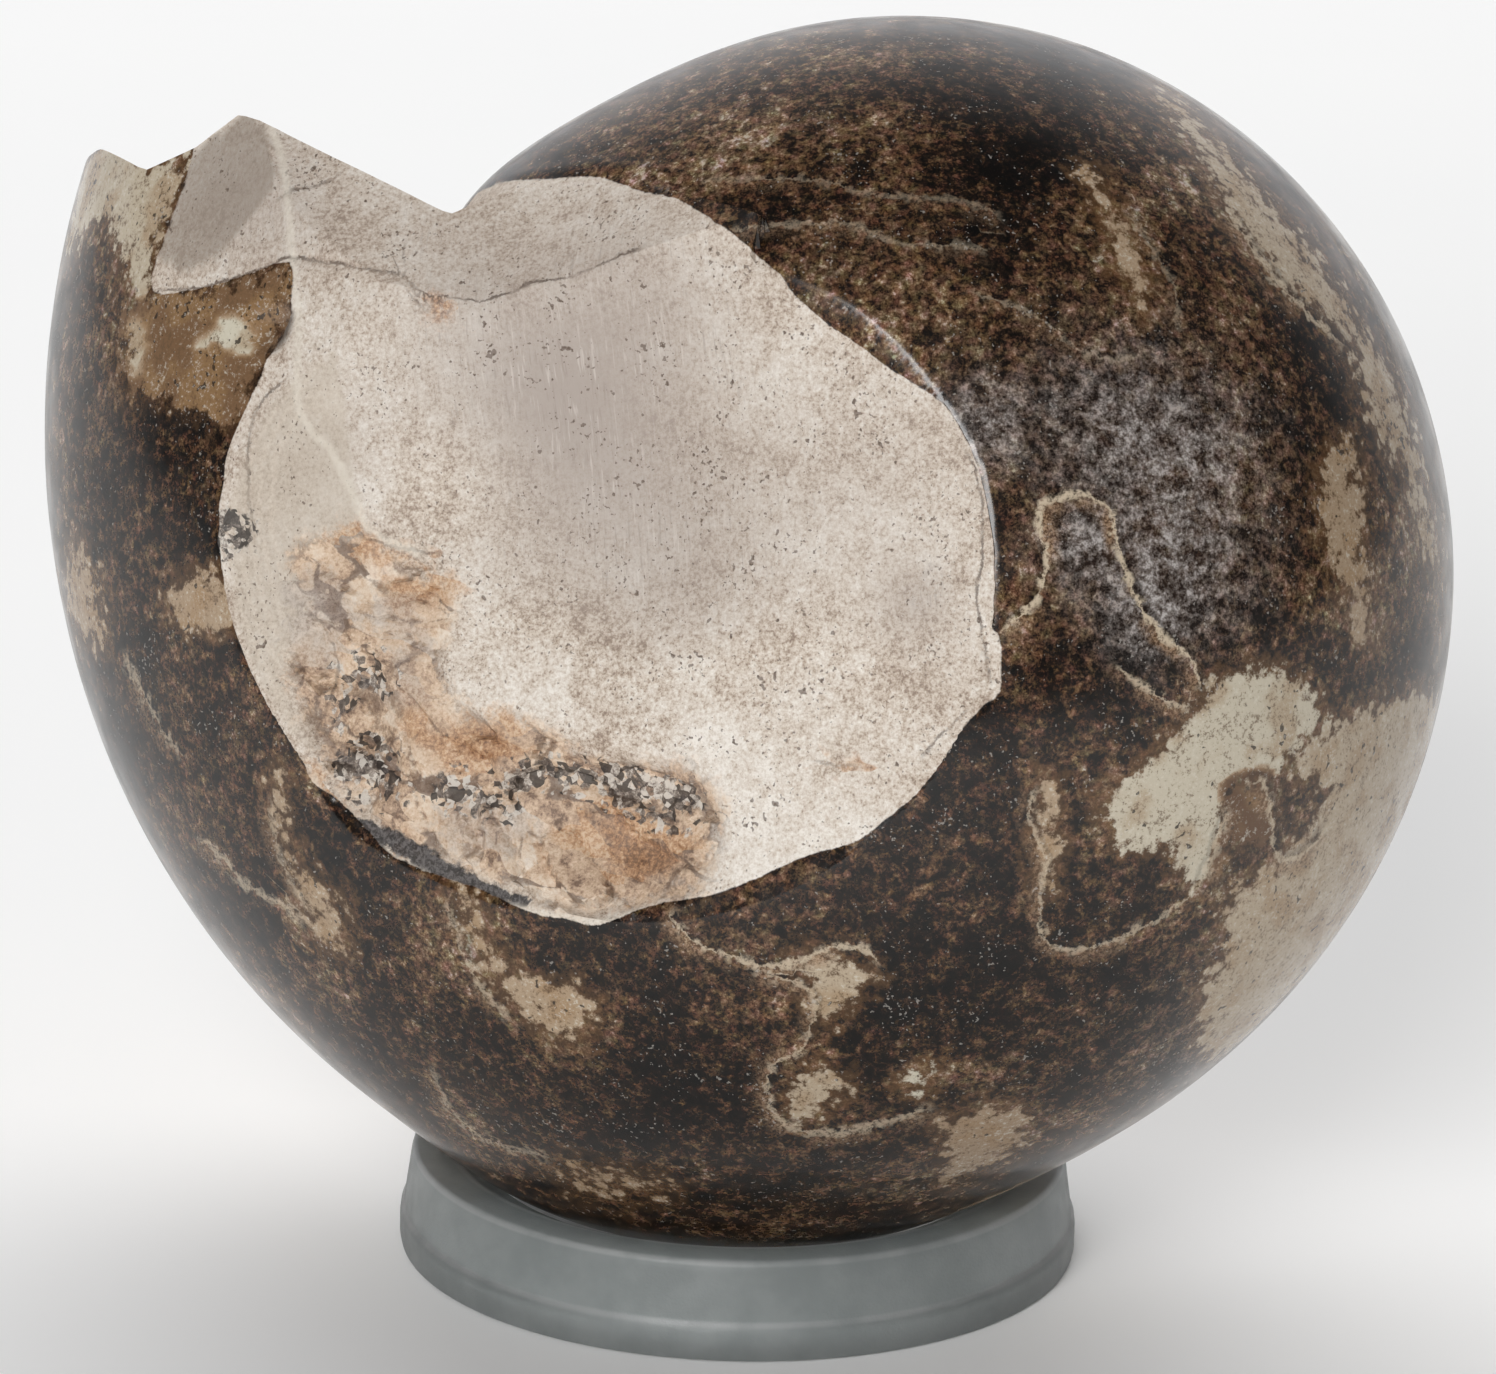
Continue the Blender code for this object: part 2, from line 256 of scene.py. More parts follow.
# Pockets of dark crystals in it.
CRYSTALS = (
    ((500, 780), (540, 765), (580, 760), (620, 765), (650, 775), (680, 790), (690, 805), (670, 820),
        (640, 810), (600, 795), (560, 790), (530, 795)),
    ((425, 785), (450, 775), (480, 788), (515, 790), (500, 805), (450, 805)),
    ((355, 670), (368, 662), (372, 680), (360, 690)),
    ((325, 690), (340, 682), (350, 700), (345, 735), (330, 738)),
    ((335, 750), (365, 738), (395, 760), (390, 795), (355, 795)),
    ((225, 520), (245, 522), (250, 535), (235, 548), (226, 540)),
)
# Groove under its lower rim, painted dark as its shade.
SHADED_GROOVE = (
    ((352, 818), (372, 822), (400, 836), (440, 858), (485, 882), (530, 900), (520, 906), (470, 892),
        (430, 874), (390, 852), (362, 836)),
)
RUST = (
    ((350, 540), (400, 548), (435, 562), (430, 575), (390, 565), (350, 552)),
    ((385, 575), (430, 585), (425, 600), (385, 595)),
    ((400, 705), (440, 718), (480, 723), (520, 742), (515, 765), (470, 782), (425, 770), (395, 745)),
    ((560, 805), (600, 795), (640, 815), (690, 840), (670, 885), (620, 890), (590, 870)),
    ((310, 765), (350, 805), (390, 835), (380, 845), (340, 815), (305, 785)),
    ((800, 755), (840, 758), (870, 768), (830, 775)),
    ((428, 298), (438, 300), (440, 310), (430, 310)),
)
LILAC = (
    ((355, 602), (400, 600), (405, 622), (360, 620)),
    ((390, 655), (415, 660), (418, 700), (395, 705)),
    ((300, 590), (340, 570), (345, 640), (325, 690), (300, 660)),
    ((440, 800), (520, 808), (500, 850), (440, 840)),
    ((905, 580), (925, 590), (925, 625), (905, 615)),
)
# The hollow at the left rim where a splinter came off.
PIT = ((252, 315), (290, 308), (286, 335), (270, 352), (250, 345))

# Soft changes of tone in the dark shell: centre, radius, and warmth from black -1 to brown 1.
TINTS = (
    (730, 110, 110, 0.9), (930, 180, 110, -1.0), (1000, 120, 90, -0.7), (880, 320, 130, 0.8),
    (840, 60, 60, -0.3), (1060, 220, 70, -0.8), (1290, 350, 60, -1.0), (1330, 400, 40, -1.0),
    (960, 310, 60, 0.9), (1120, 320, 80, 0.5), (1180, 180, 50, 0.6), (1030, 700, 70, -0.4),
    (1130, 690, 50, -0.7), (1200, 650, 50, -0.4), (1290, 600, 70, -0.3), (1100, 880, 60, -0.3),
    (1120, 1000, 120, -0.7), (870, 1000, 90, -0.6), (700, 1060, 150, -0.8), (520, 960, 60, -0.6),
    (430, 1080, 80, -0.6), (600, 1150, 120, -0.7), (950, 900, 100, -0.6), (170, 470, 110, -1.0),
    (200, 700, 50, 0.6), (110, 700, 120, -1.0), (250, 900, 100, -0.8), (200, 800, 80, -0.5),
    (230, 800, 60, 0.3), (160, 600, 40, -0.7), (700, 960, 60, 0.5), (1000, 900, 60, 0.4),
    (1250, 500, 60, 0.3),
)
# Pale bluish-grey spots in the dark shell: centre, radius and strength.
PALE_GREY_SPOTS = (
    (1120, 430, 80, 0.8), (1180, 560, 70, 0.9), (1085, 550, 40, 0.7), (1150, 620, 40, 0.7),
    (985, 420, 40, 0.9), (1210, 450, 60, 0.5), (1240, 1090, 80, 0.4),
)
# The ground face's saw marks lean to the right at their lower ends.
SAW_LEAN = math.radians(13)
# Splinters of the broken stone: how far they lean from level, and their length, width and depth.
SPLINTER_LEAN = math.radians(-26)
SPLINTER_SIZE = np.array((0.0048, 0.0017, 0.0030))
# Painted shade and light on the ground face: spots above zero grey the trough and the faces turned from the
# light, spots below zero brighten its lower part.
PAINTED_SHADING_SPOTS = (
    (600, 460, 150, 1.0), (520, 360, 110, 0.7), (700, 600, 110, 0.5), (660, 300, 90, 0.5),
    (915, 600, 40, 0.6), (870, 480, 120, 0.35), (890, 700, 100, 0.3), (310, 450, 90, 0.45),
    (290, 590, 60, 0.3), (250, 200, 90, 0.8), (430, 235, 90, 0.35), (600, 215, 90, 0.25),
    (760, 790, 150, -1.0), (520, 690, 70, -0.7), (450, 480, 70, -0.4),
)


def facing(yaw, pitch):
    """Unit vector that leans up by pitch and turns from -Y towards -X by yaw, both in degrees."""
    yaw, pitch = math.radians(yaw), math.radians(pitch)
    return np.array((-math.sin(yaw) * math.cos(pitch), -math.cos(yaw) * math.cos(pitch), math.sin(pitch)))


def unit_rows(rows):
    return rows / np.linalg.norm(rows, axis=1)[:, None]


def smoothstep(value, low, high):
    share = np.clip((value - low) / (high - low), 0, 1)
    return share * share * (3 - 2 * share)


COIL_AXIS = facing(math.degrees(COIL_YAW), math.degrees(COIL_PITCH))
COIL_SIDE = np.array((1.0, 0.0, 0.0)) - COIL_AXIS * COIL_AXIS[0]
COIL_SIDE /= np.linalg.norm(COIL_SIDE)
COIL_UP = np.cross(COIL_AXIS, COIL_SIDE)
BREAK_NORMAL = facing(*BREAK_FACING)
BREAK_EDGE = facing(*BREAK_EDGE_FACING)
BREAK_EDGE -= BREAK_NORMAL * (BREAK_EDGE @ BREAK_NORMAL)
BREAK_EDGE /= np.linalg.norm(BREAK_EDGE)
BREAK_DEPTH = np.cross(BREAK_EDGE, BREAK_NORMAL)


# ---- The stone's form ----

def whorl_radius(turn, lean):
    """Distance from the centre to the shell, turn radians after the mouth and lean radians off its plane."""
    sway = COIL_SWAY * np.sin(turn) + COIL_OVAL * (np.cos(2 * turn) - 1)
    lip = LIP_RISE * np.exp(-(turn / LIP_SPREAD) ** 2)
    venter = MOUTH_RADIUS * np.exp(GROWTH * turn + sway + lip)
    share = np.clip(np.cos(lean), 0, 1) ** FLANK_POWER
    mouth_side = (lean > 0) * MOUTH_SWELL * np.exp(-(turn / MOUTH_SWELL_SPREAD) ** 2)
    swell = (FLANK_SWELL + mouth_side) * np.sin(2 * lean) ** 2
    return UMBILICUS_RADIUS * np.exp(share * np.log(venter / UMBILICUS_RADIUS) + swell)


def coil_angles(points):
    """Turn round the coil and lean off its plane, as seen from the shell's centre."""
    unit = unit_rows(points)
    turn = (MOUTH_ANGLE - np.arctan2(unit @ COIL_UP, unit @ COIL_SIDE)) % (2 * math.pi)
    return turn, np.arcsin(np.clip(unit @ COIL_AXIS, -1, 1))


def above_plane(points, plane):
    """Height of points over a facet's plane."""
    yaw, pitch, distance = plane
    return points @ facing(yaw, pitch) - distance


def above_break(points):
    """Height of points over the broken end of the last whorl."""
    offset = points - NOTCH
    drop = np.interp(offset @ BREAK_EDGE, BREAK_ALONG, BREAK_DROP)
    return offset @ BREAK_NORMAL + drop + BREAK_SLOPE * np.maximum(offset @ BREAK_DEPTH, 0)


def face_axes():
    """The main face's own directions: out of it, across it and up it."""
    out = facing(*MAIN_FACE[:2])
    across = np.cross((0.0, 0.0, 1.0), out)
    across /= np.linalg.norm(across)
    return out, across, np.cross(out, across)


def hollow_depth(points, hollow):
    """Depth of a smooth hollow that fades out round its centre."""
    centre, half_length, half_height, depth = hollow
    offset = points - np.array(centre)
    out, across, up = face_axes()
    spread = (offset @ across / half_length) ** 2 + (offset @ up / half_height) ** 2
    return depth * np.exp(-spread ** 1.5) * (np.abs(offset @ out) < 2 * half_length)


def overlap_heights(points):
    """Where the whorls overlap, and heights there: over the earlier whorl and over the block's sides."""
    reach = np.linalg.norm(points, axis=1)
    turn, lean = coil_angles(points)
    late = turn > math.pi
    last_whorl = reach - whorl_radius(np.where(late, turn, turn + 2 * math.pi), lean)
    earlier_whorl = reach - whorl_radius(np.where(late, turn - 2 * math.pi, turn), lean)
    block = np.stack((last_whorl, above_break(points), above_plane(points, BLOCK_SIDE)))
    return (turn < OVERLAP_END) | (turn > OVERLAP_START), earlier_whorl, block


def shell_height(points):
    """Signed height of points over the coiled shell and the block on it, and the facet there."""
    turn, lean = coil_angles(points)
    whorl = np.linalg.norm(points, axis=1) - whorl_radius(turn, lean)
    overlap, earlier_whorl, block = overlap_heights(points)
    on_block = overlap & (block.max(axis=0) < earlier_whorl)
    height = np.where(on_block, block.max(axis=0), np.where(overlap, earlier_whorl, whorl))
    return height, np.where(on_block, block.argmax(axis=0), SHELL)


def break_margin(points):
    """Distance in mm from the edges of the last whorl's broken end, above zero on the broken end."""
    overlap, earlier_whorl, block = overlap_heights(points)
    margin = np.minimum(block[1:].max(axis=0) - block[0], earlier_whorl - block.max(axis=0)) / MM
    return np.where(overlap, margin, -FAR_FIELD)


def ground_height(points):
    """Signed height of points over the ground planes, and the facet there."""
    steps = np.stack((above_plane(points, INNER_STEP), above_plane(points, BLOCK_STEP)))
    cuts = np.stack([steps.min(axis=0)]
                    + [above_plane(points, plane) for plane in (MAIN_FACE, LEFT_FACET, RIM_CHIP)])
    step_facet = np.where(steps.argmin(axis=0) == 0, INNER, BLOCK)
    facet = np.array((INNER, MAIN, LEFT, CHIP))[cuts.argmax(axis=0)]
    return cuts.max(axis=0), np.where(facet == INNER, step_facet, facet)


def stone(points):
    """Signed height of points over the stone's surface, and the facet that bounds them."""
    shell, shell_facet = shell_height(points)
    ground, ground_facet = ground_height(points)
    belly_turn = np.arccos(np.clip(unit_rows(points) @ facing(*BELLY_FACING), -1, 1))
    belly = BELLY_RISE * np.exp(-(belly_turn / BELLY_SPREAD) ** 2)
    worn = sum(hollow_depth(points, hollow) for hollow in (TROUGH, POCKET, RIM_HOLLOW))
    return np.maximum(shell, ground) + worn - belly, np.where(ground > shell, ground_facet, shell_facet)


def stone_surface(rays):
    """Where each ray from the ray centre leaves the stone, and the facet there."""
    outside = np.full(len(rays), RAY_REACH)
    inside = np.zeros(len(rays))
    for distance in np.linspace(RAY_REACH, 0, RAY_STEPS, endpoint=False):
        open_rays = np.flatnonzero(inside == 0)
        height, _ = stone(RAY_CENTRE + rays[open_rays] * distance)
        inside[open_rays[height < 0]] = distance
        outside[open_rays[height >= 0]] = distance
    for _ in range(HALVINGS):
        middle = (inside + outside) / 2
        height, _ = stone(RAY_CENTRE + rays * middle[:, None])
        inside = np.where(height < 0, middle, inside)
        outside = np.where(height < 0, outside, middle)
    points = RAY_CENTRE + rays * outside[:, None]
    return points, stone(points)[1]


def snap_to_creases(rays, edges, fixed):
    """Turn the rays nearest to a crease onto it, so that mesh edges follow the facets' edges."""
    facets = stone_surface(rays)[1]
    crossing = (facets[edges[:, 0]] != facets[edges[:, 1]]) & ~fixed[edges].any(axis=1)
    ends = edges[crossing]
    low, high = np.zeros(len(ends)), np.ones(len(ends))
    start, finish = rays[ends[:, 0]], rays[ends[:, 1]]
    for _ in range(HALVINGS // 2):
        middle = (low + high) / 2
        between = unit_rows(start + (finish - start) * middle[:, None])
        same = stone_surface(between)[1] == facets[ends[:, 0]]
        low, high = np.where(same, middle, low), np.where(same, high, middle)
    share = np.minimum(high, 1 - high)
    mover = np.where(high < 0.5, ends[:, 0], ends[:, 1])
    target = unit_rows(start + (finish - start) * high[:, None])
    for index in np.argsort(share):
        if not fixed[mover[index]]:
            rays[mover[index]] = target[index]
            fixed[mover[index]] = True


def ray_net():
    """A cube of small squares, each corner's place on it, and each corner's ray."""
    net = bmesh.new()
    bmesh.ops.create_cube(net, size=2)
    bmesh.ops.subdivide_edges(net, edges=net.edges[:], cuts=NET_CELLS - 1, use_grid_fill=True)
    net.verts.index_update()
    corners = np.array([vertex.co[:] for vertex in net.verts])
    spread = unit_rows(np.tan(corners * math.pi / 4))
    along = spread @ NET_CENTRE
    reach = np.sqrt(along ** 2 - NET_CENTRE @ NET_CENTRE + NET_RADIUS ** 2) - along
    return net, corners, unit_rows(NET_CENTRE + spread * reach[:, None] - RAY_CENTRE)


def split_along_creases(net, on_crease):
    """Cut each square in two, along the crease where it crosses the square."""
    for face in net.faces[:]:
        first, second, third, fourth = face.verts
        crease_one = on_crease[first.index] + on_crease[third.index]
        crease_two = on_crease[second.index] + on_crease[fourth.index]
        shorter_one = (first.co - third.co).length < (second.co - fourth.co).length
        if crease_one > crease_two or (crease_one == crease_two and shorter_one):
            bmesh.utils.face_split(face, first, third)
        else:
            bmesh.utils.face_split(face, second, fourth)


# ---- Places and fields of the traced features ----

def camera_axes():
    """The camera's right, up and forward directions."""
    raised = np.array((0.0, math.sin(CAMERA_PITCH), math.cos(CAMERA_PITCH)))
    level = np.array((1.0, 0.0, 0.0))
    right = math.cos(CAMERA_ROLL) * level + math.sin(CAMERA_ROLL) * raised
    up = math.cos(CAMERA_ROLL) * raised - math.sin(CAMERA_ROLL) * level
    return right, up, np.cross(up, right)


def photo_places(points):
    """The pixel at which the camera sees each point."""
    right, up, forward = camera_axes()
    offset = points - CAMERA_PLACE
    depth = offset @ forward
    across = PHOTO_WIDTH / 2 + FOCAL_PIXELS * (offset @ right) / depth
    down = PHOTO_HEIGHT / 2 - FOCAL_PIXELS * (offset @ up) / depth
    return np.stack((across, down), axis=1)


def curve_through(corners, closed):
    """A smooth curve through traced points."""
    corners = np.array(corners, float)
    if closed:
        padded = np.vstack((corners[-1:], corners, corners[:2]))
    else:
        padded = np.vstack((2 * corners[:1] - corners[1:2], corners, 2 * corners[-1:] - corners[-2:-1]))
    before, start, end, after = (padded[k:len(padded) - 3 + k, None] for k in range(4))
    share = np.linspace(0, 1, CURVE_STEPS, endpoint=False)[None, :, None]
    bend = (-before + end) * share + (2 * before - 5 * start + 4 * end - after) * share ** 2
    bend += (-before + 3 * start - 3 * end + after) * share ** 3
    curve = (start + bend / 2).reshape(-1, 2)
    return np.vstack((curve, curve[:1] if closed else corners[-1:]))


def nearest_on_curve(places, curve):
    """Distance to a curve, the side of it that each place is on, and whether an end of it is nearest."""
    nearest = np.full(len(places), np.inf)
    side = np.zeros(len(places))
    past_end = np.zeros(len(places), dtype=bool)
    for index, (start, end) in enumerate(zip(curve, curve[1:])):
        along = end - start
        offset = places - start
        share = offset @ along / (along @ along)
        miss = offset - np.clip(share, 0, 1)[:, None] * along
        distance = np.hypot(miss[:, 0], miss[:, 1])
        closer = distance < nearest
        nearest[closer] = distance[closer]
        side[closer] = (along[0] * offset[:, 1] - along[1] * offset[:, 0])[closer]
        beyond = ((index == 0) & (share < 0)) | ((index == len(curve) - 2) & (share > 1))
        past_end[closer] = beyond[closer]
    return nearest, np.sign(side), past_end


def inside_curve(places, curve):
    """Which places lie inside a closed curve."""
    inside = np.zeros(len(places), dtype=bool)
    for start, end in zip(curve, curve[1:]):
        if start[1] == end[1]:
            continue
        spans = (places[:, 1] > start[1]) != (places[:, 1] > end[1])
        across = start[0] + (places[:, 1] - start[1]) * (end[0] - start[0]) / (end[1] - start[1])
        inside ^= spans & (places[:, 0] < across)
    return inside


def near_curve(places, curve):
    """Indices of the places within the far field of a curve."""
    margin = FAR_FIELD / MM_PER_PIXEL
    low, high = curve.min(axis=0) - margin, curve.max(axis=0) + margin
    return np.flatnonzero(((places > low) & (places < high)).all(axis=1))


def outline_field(places, outlines):
    """Distance in mm to the nearest of some closed outlines, above zero inside."""
    field = np.full(len(places), -FAR_FIELD)
    for outline in outlines:
        curve = curve_through(outline, True)
        near = near_curve(places, curve)
        distance = nearest_on_curve(places[near], curve)[0] * MM_PER_PIXEL
        signed = np.where(inside_curve(places[near], curve), distance, -distance)
        field[near] = np.maximum(field[near], np.clip(signed, -FAR_FIELD, FAR_FIELD))
    return field


def line_field(places, lines):
    """Signed distance in mm to the nearest of some lines, and how far each line's own field reaches."""
    field = np.full(len(places), FAR_FIELD)
    reach = np.zeros(len(places))
    for strength, line in lines:
        curve = curve_through(line, False)
        near = near_curve(places, curve)
        distance, side, past_end = nearest_on_curve(places[near], curve)
        distance *= MM_PER_PIXEL
        ends = np.minimum(*(np.linalg.norm(places[near] - end, axis=1) for end in (curve[0], curve[-1])))
        fade = smoothstep(ends * MM_PER_PIXEL, 0.1, 1.2) * smoothstep(distance, 1.2, 0.7) * ~past_end
        closer = distance < np.abs(field[near])
        field[near[closer]] = (distance * side)[closer]
        reach[near[closer]] = strength * fade[closer]
    return field, reach


def spot_field(places, spots):
    """Sum of soft round spots, each one a centre, a radius and a strength."""
    field = np.zeros(len(places))
    for x, y, radius, strength in spots:
        distance = np.hypot(places[:, 0] - x, places[:, 1] - y) / radius
        field += strength * np.exp(-distance ** 2)
    return field


def noise_field(points, size, octaves=3, seed=0.0):
    """Smooth noise, about -1 to 1, whose largest swells are size metres across."""
    shift = Vector((seed, seed * 1.7, -seed))
    return np.array([noise.fractal(Vector(row) + shift, 1.0, 2.0, octaves) for row in points / size])


def crystal_field(points, size, mask):
    """Height of packed crystals, 0 at their joints and about 1 at their tops, where the mask is set."""
    field = np.zeros(len(points))
    for index in np.flatnonzero(mask):
        near, _ = noise.voronoi(Vector(points[index] / size))
        field[index] = min(near[1] - near[0], 1.0)
    return field


def splinter_field(points, mask):
    """Splinters of broken stone, where the mask is set: each one's tone, tilted height and joints."""
    out, across, up = face_axes()
    lean = SPLINTER_LEAN + 0.6 * noise_field(points, 0.012, 2, 6.0)
    along = (points @ across) * np.cos(lean) + (points @ up) * np.sin(lean)
    over = (points @ up) * np.cos(lean) - (points @ across) * np.sin(lean)
    places = np.stack((along, over, points @ out), axis=1) / SPLINTER_SIZE
    tone = np.full(len(points), 0.5)
    height = np.full(len(points), 0.5)
    joint = np.ones(len(points))
    for index in np.flatnonzero(mask):
        near, centres = noise.voronoi(Vector(places[index]))
        centre = np.array(centres[0])
        tilt = np.sin(centre[[1, 2, 0]] * 37.0)
        tone[index] = 0.5 + 0.5 * math.sin(centre.sum() * 29.0)
        height[index] = 0.6 * tone[index] + 0.7 * (places[index] - centre) @ tilt
        joint[index] = min(near[1] - near[0], 1.0)
    return tone, height, joint


def patch_fields(places):
    """Distance in mm into the nearest patch, and how pale it is. A later patch lies over an earlier one."""
    depth = np.full(len(places), -FAR_FIELD)
    tone = np.full(len(places), 0.6)
    for paleness, outline in PATCHES:
        field = outline_field(places, (outline,))
        tone += (paleness - tone) * np.where(depth < 0, field > depth, smoothstep(field, -0.15, 0.15))
        depth = np.maximum(depth, field)
    return depth, tone


def back_sutures(points):
    """Signed distance in mm to the nearest frilled chamber wall, on the sides away from the camera."""
    frill = np.stack([noise_field(points, 0.006, 3, seed) for seed in (3.0, 11.0, 23.0)], axis=1)
    turn, lean = coil_angles(points + SUTURE_FRILL * frill)
    lobes = 0.10 * np.sin(5 * lean) + 0.045 * np.sin(13 * lean + 1.0)
    offset = (((turn + lobes) / SUTURE_SPACING + 0.5) % 1 - 0.5) * SUTURE_SPACING
    distance = offset * np.linalg.norm(points, axis=1) * np.cos(lean) / MM
    worn = smoothstep(noise_field(points, 0.013, 2, 31.0), -0.45, 0.35)
    reach = 0.7 * (0.25 + 0.75 * worn) * smoothstep(np.cos(lean), 0.30, 0.75)
    return distance, reach * smoothstep(np.abs(distance), 1.2, 0.7)


# ---- Relief and attributes of the stone's mesh ----

# The mesh's attributes, each with up to three of the stone's fields.
ATTRIBUTES = {
    "zone": ("ground", "rough", "crystal"),
    "patch": ("patch", "tone"),
    "stain": ("rust", "lilac", "pit"),
    "line": ("line", "line_reach"),
    "crack": ("crack", "crack_reach"),
    "rim": ("rim", "rim_reach"),
    "tint": ("warmth", "pale_grey", "painted_shading"),
    "facet": ("left", "block", "strip"),
    "splinter": ("splinter_tone", "joint"),
    "sawn": ("sawn", "along_saw"),
}
# Depths and heights of the relief, in mm.
WORN_DEPTH, GROUND_DEPTH = 0.03, 0.06
BROKEN_DEPTH, CRUMB_DEPTH, SPLINTER_DEPTH, JOINT_DEPTH = 0.12, 0.20, 0.42, 0.16
STRIP_DEPTH, CRYSTAL_DEPTH, PIT_DEPTH, CRACK_DEPTH, RIM_HEIGHT = 0.10, 0.35, 0.55, 0.13, 0.06


def surface_fields(points, normals, facets):
    """Everything that the stone's material and relief need at each vertex. Distances are in mm."""
    places = photo_places(points + SHELL_CENTRE)
    margin = (ground_height(points)[0] - shell_height(points)[0]) / MM
    seen = unit_rows(CAMERA_PLACE - SHELL_CENTRE - points)
    front = smoothstep((normals * seen).sum(axis=1), 0.0, 0.12)
    back = 1 - front
    rear_patch = 5 * (noise_field(points, 0.016, 3, 5.0) - 0.22)
    rear_tone = 0.6 + 0.4 * noise_field(points, 0.02, 2, 9.0)
    patch, tone = patch_fields(places)
    broken = np.clip(np.minimum(break_margin(points), -margin), -1.0, 1.0)
    line, reach = line_field(places, CHAMBER_LINES)
    rear_line, rear_reach = back_sutures(points)
    on_front = front > 0.5
    _, across, up = face_axes()
    cosine, sine = math.cos(SAW_LEAN), math.sin(SAW_LEAN)
    across, up = across * cosine + up * sine, up * cosine - across * sine
    seam = smoothstep(np.abs(front - 0.5), 0.0, 0.2)
    ground = outline_field(places, (GROUND,))
    spread = smoothstep(places[:, 1], *GROUND_REACH_TOP) * smoothstep(places[:, 1], *GROUND_REACH_END)
    ground = ground + GROUND_SPREAD * spread * smoothstep(margin, -0.15, 0.0)
    rough = outline_field(places, (ROUGH,)) * front + broken * back
    splinter_tone, splinter_height, joint = splinter_field(points, rough > -1.5)
    crack, crack_reach = line_field(places, CRACKS)
    rim, rim_reach = line_field(places, RIM_LINES)
    return {
        "ground": ground * front + broken * back,
        "rough": rough,
        "splinter_tone": splinter_tone,
        "splinter_height": splinter_height,
        "joint": joint,
        "strip": outline_field(places, SHADED_GROOVE) * front - back,
        "crystal": outline_field(places, CRYSTALS) * front - back,
        "patch": patch * front + rear_patch * back,
        "tone": tone * front + rear_tone * back,
        "rust": outline_field(places, RUST) * front - back,
        "lilac": outline_field(places, LILAC) * front - back,
        "pit": outline_field(places, (PIT,)) * front - back,
        "line": np.where(on_front, line, rear_line),
        "line_reach": np.where(on_front, reach, rear_reach) * seam,
        "crack": crack,
        "crack_reach": crack_reach * front,
        "rim": rim,
        "rim_reach": rim_reach * front,
        "warmth": spot_field(places, TINTS) * front + 0.5 * noise_field(points, 0.02, 2, 2.0) * back,
        "pale_grey": spot_field(places, PALE_GREY_SPOTS) * front,
        # Painted shade and light of the ground face.
        "painted_shading": spot_field(places, PAINTED_SHADING_SPOTS) * front,
        "left": np.isin(facets, (LEFT, CHIP)) * 1.0,
        "block": np.isin(facets, (SIDE,)) * 1.0,
        "sawn": points @ across / MM,
        "along_saw": points @ up / MM,
    }


def relief(points, fields):
    """How far each vertex moves along its normal, in mm: worn waves, broken stone, crystals and cracks."""
    ground = smoothstep(fields["ground"], -0.2, 0.3)
    rough = smoothstep(fields["rough"], -0.4, 0.8) * ground
    crystal = smoothstep(fields["crystal"], -0.3, 0.3)
    height = -WORN_DEPTH * (1 + np.abs(noise_field(points, 0.011, 2, 4.0)))
    height -= GROUND_DEPTH * ground * (1 + np.abs(noise_field(points, 0.0045, 3, 7.0)))
    height -= BROKEN_DEPTH * rough + CRUMB_DEPTH * rough * np.abs(noise_field(points, 0.0032, 4, 1.0))
    height -= SPLINTER_DEPTH * rough * fields["splinter_height"]
    height -= JOINT_DEPTH * rough * np.exp(-(fields["joint"] / 0.10) ** 2)
    height -= STRIP_DEPTH * smoothstep(fields["strip"], -0.2, 0.3)
    height -= CRYSTAL_DEPTH * crystal * (1 - 0.9 * crystal_field(points, 0.0008, crystal > 0))
    height -= PIT_DEPTH * smoothstep(fields["pit"], -0.4, 0.9)
    height -= CRACK_DEPTH * fields["crack_reach"] * np.exp(-(fields["crack"] / 0.22) ** 2)
    height += RIM_HEIGHT * fields["rim_reach"] * np.exp(-(fields["rim"] / 0.35) ** 2)
    middle, reach, length, swell = SEAT_SWELL
    offset = points + SHELL_CENTRE - middle
    spread = (offset[:, 0] / reach) ** 2 + (offset[:, 1] ** 2 + offset[:, 2] ** 2) / length ** 2
    return height + swell * np.exp(-spread ** 1.5)


def store(mesh, name, *channels):
    """Keep up to three fields in one vector attribute."""
    values = np.zeros((len(mesh.vertices), 3), np.float32)
    for column, channel in enumerate(channels):
        values[:, column] = channel
    attribute = mesh.attributes.new(name, "FLOAT_VECTOR", "POINT")
    attribute.data.foreach_set("vector", values.ravel())


def unwrap_cube(mesh, corners):
    """A UV map that lays the net's six sides out as three columns and two rows."""
    corner_of_loop = np.zeros(len(mesh.loops), np.int32)
    mesh.loops.foreach_get("vertex_index", corner_of_loop)
    places = corners[corner_of_loop].reshape(-1, 3, 3)
    middle = places.mean(axis=1)
    axis = np.abs(middle).argmax(axis=1)
    row = (np.take_along_axis(middle, axis[:, None], axis=1)[:, 0] > 0) * 1.0
    uv = np.zeros((len(places), 3, 2))
    for side in range(3):
        others = [other for other in range(3) if other != side]
        uv[axis == side] = places[axis == side][:, :, others]
    uv = (uv + 1) / 2 * 0.98 + 0.01
    uv[:, :, 0] = (uv[:, :, 0] + axis[:, None]) / 3
    uv[:, :, 1] = (uv[:, :, 1] + row[:, None]) / 2
    layer = mesh.uv_layers.new(name="OFBake")
    layer.uv.foreach_set("vector", uv.astype(np.float32).ravel())


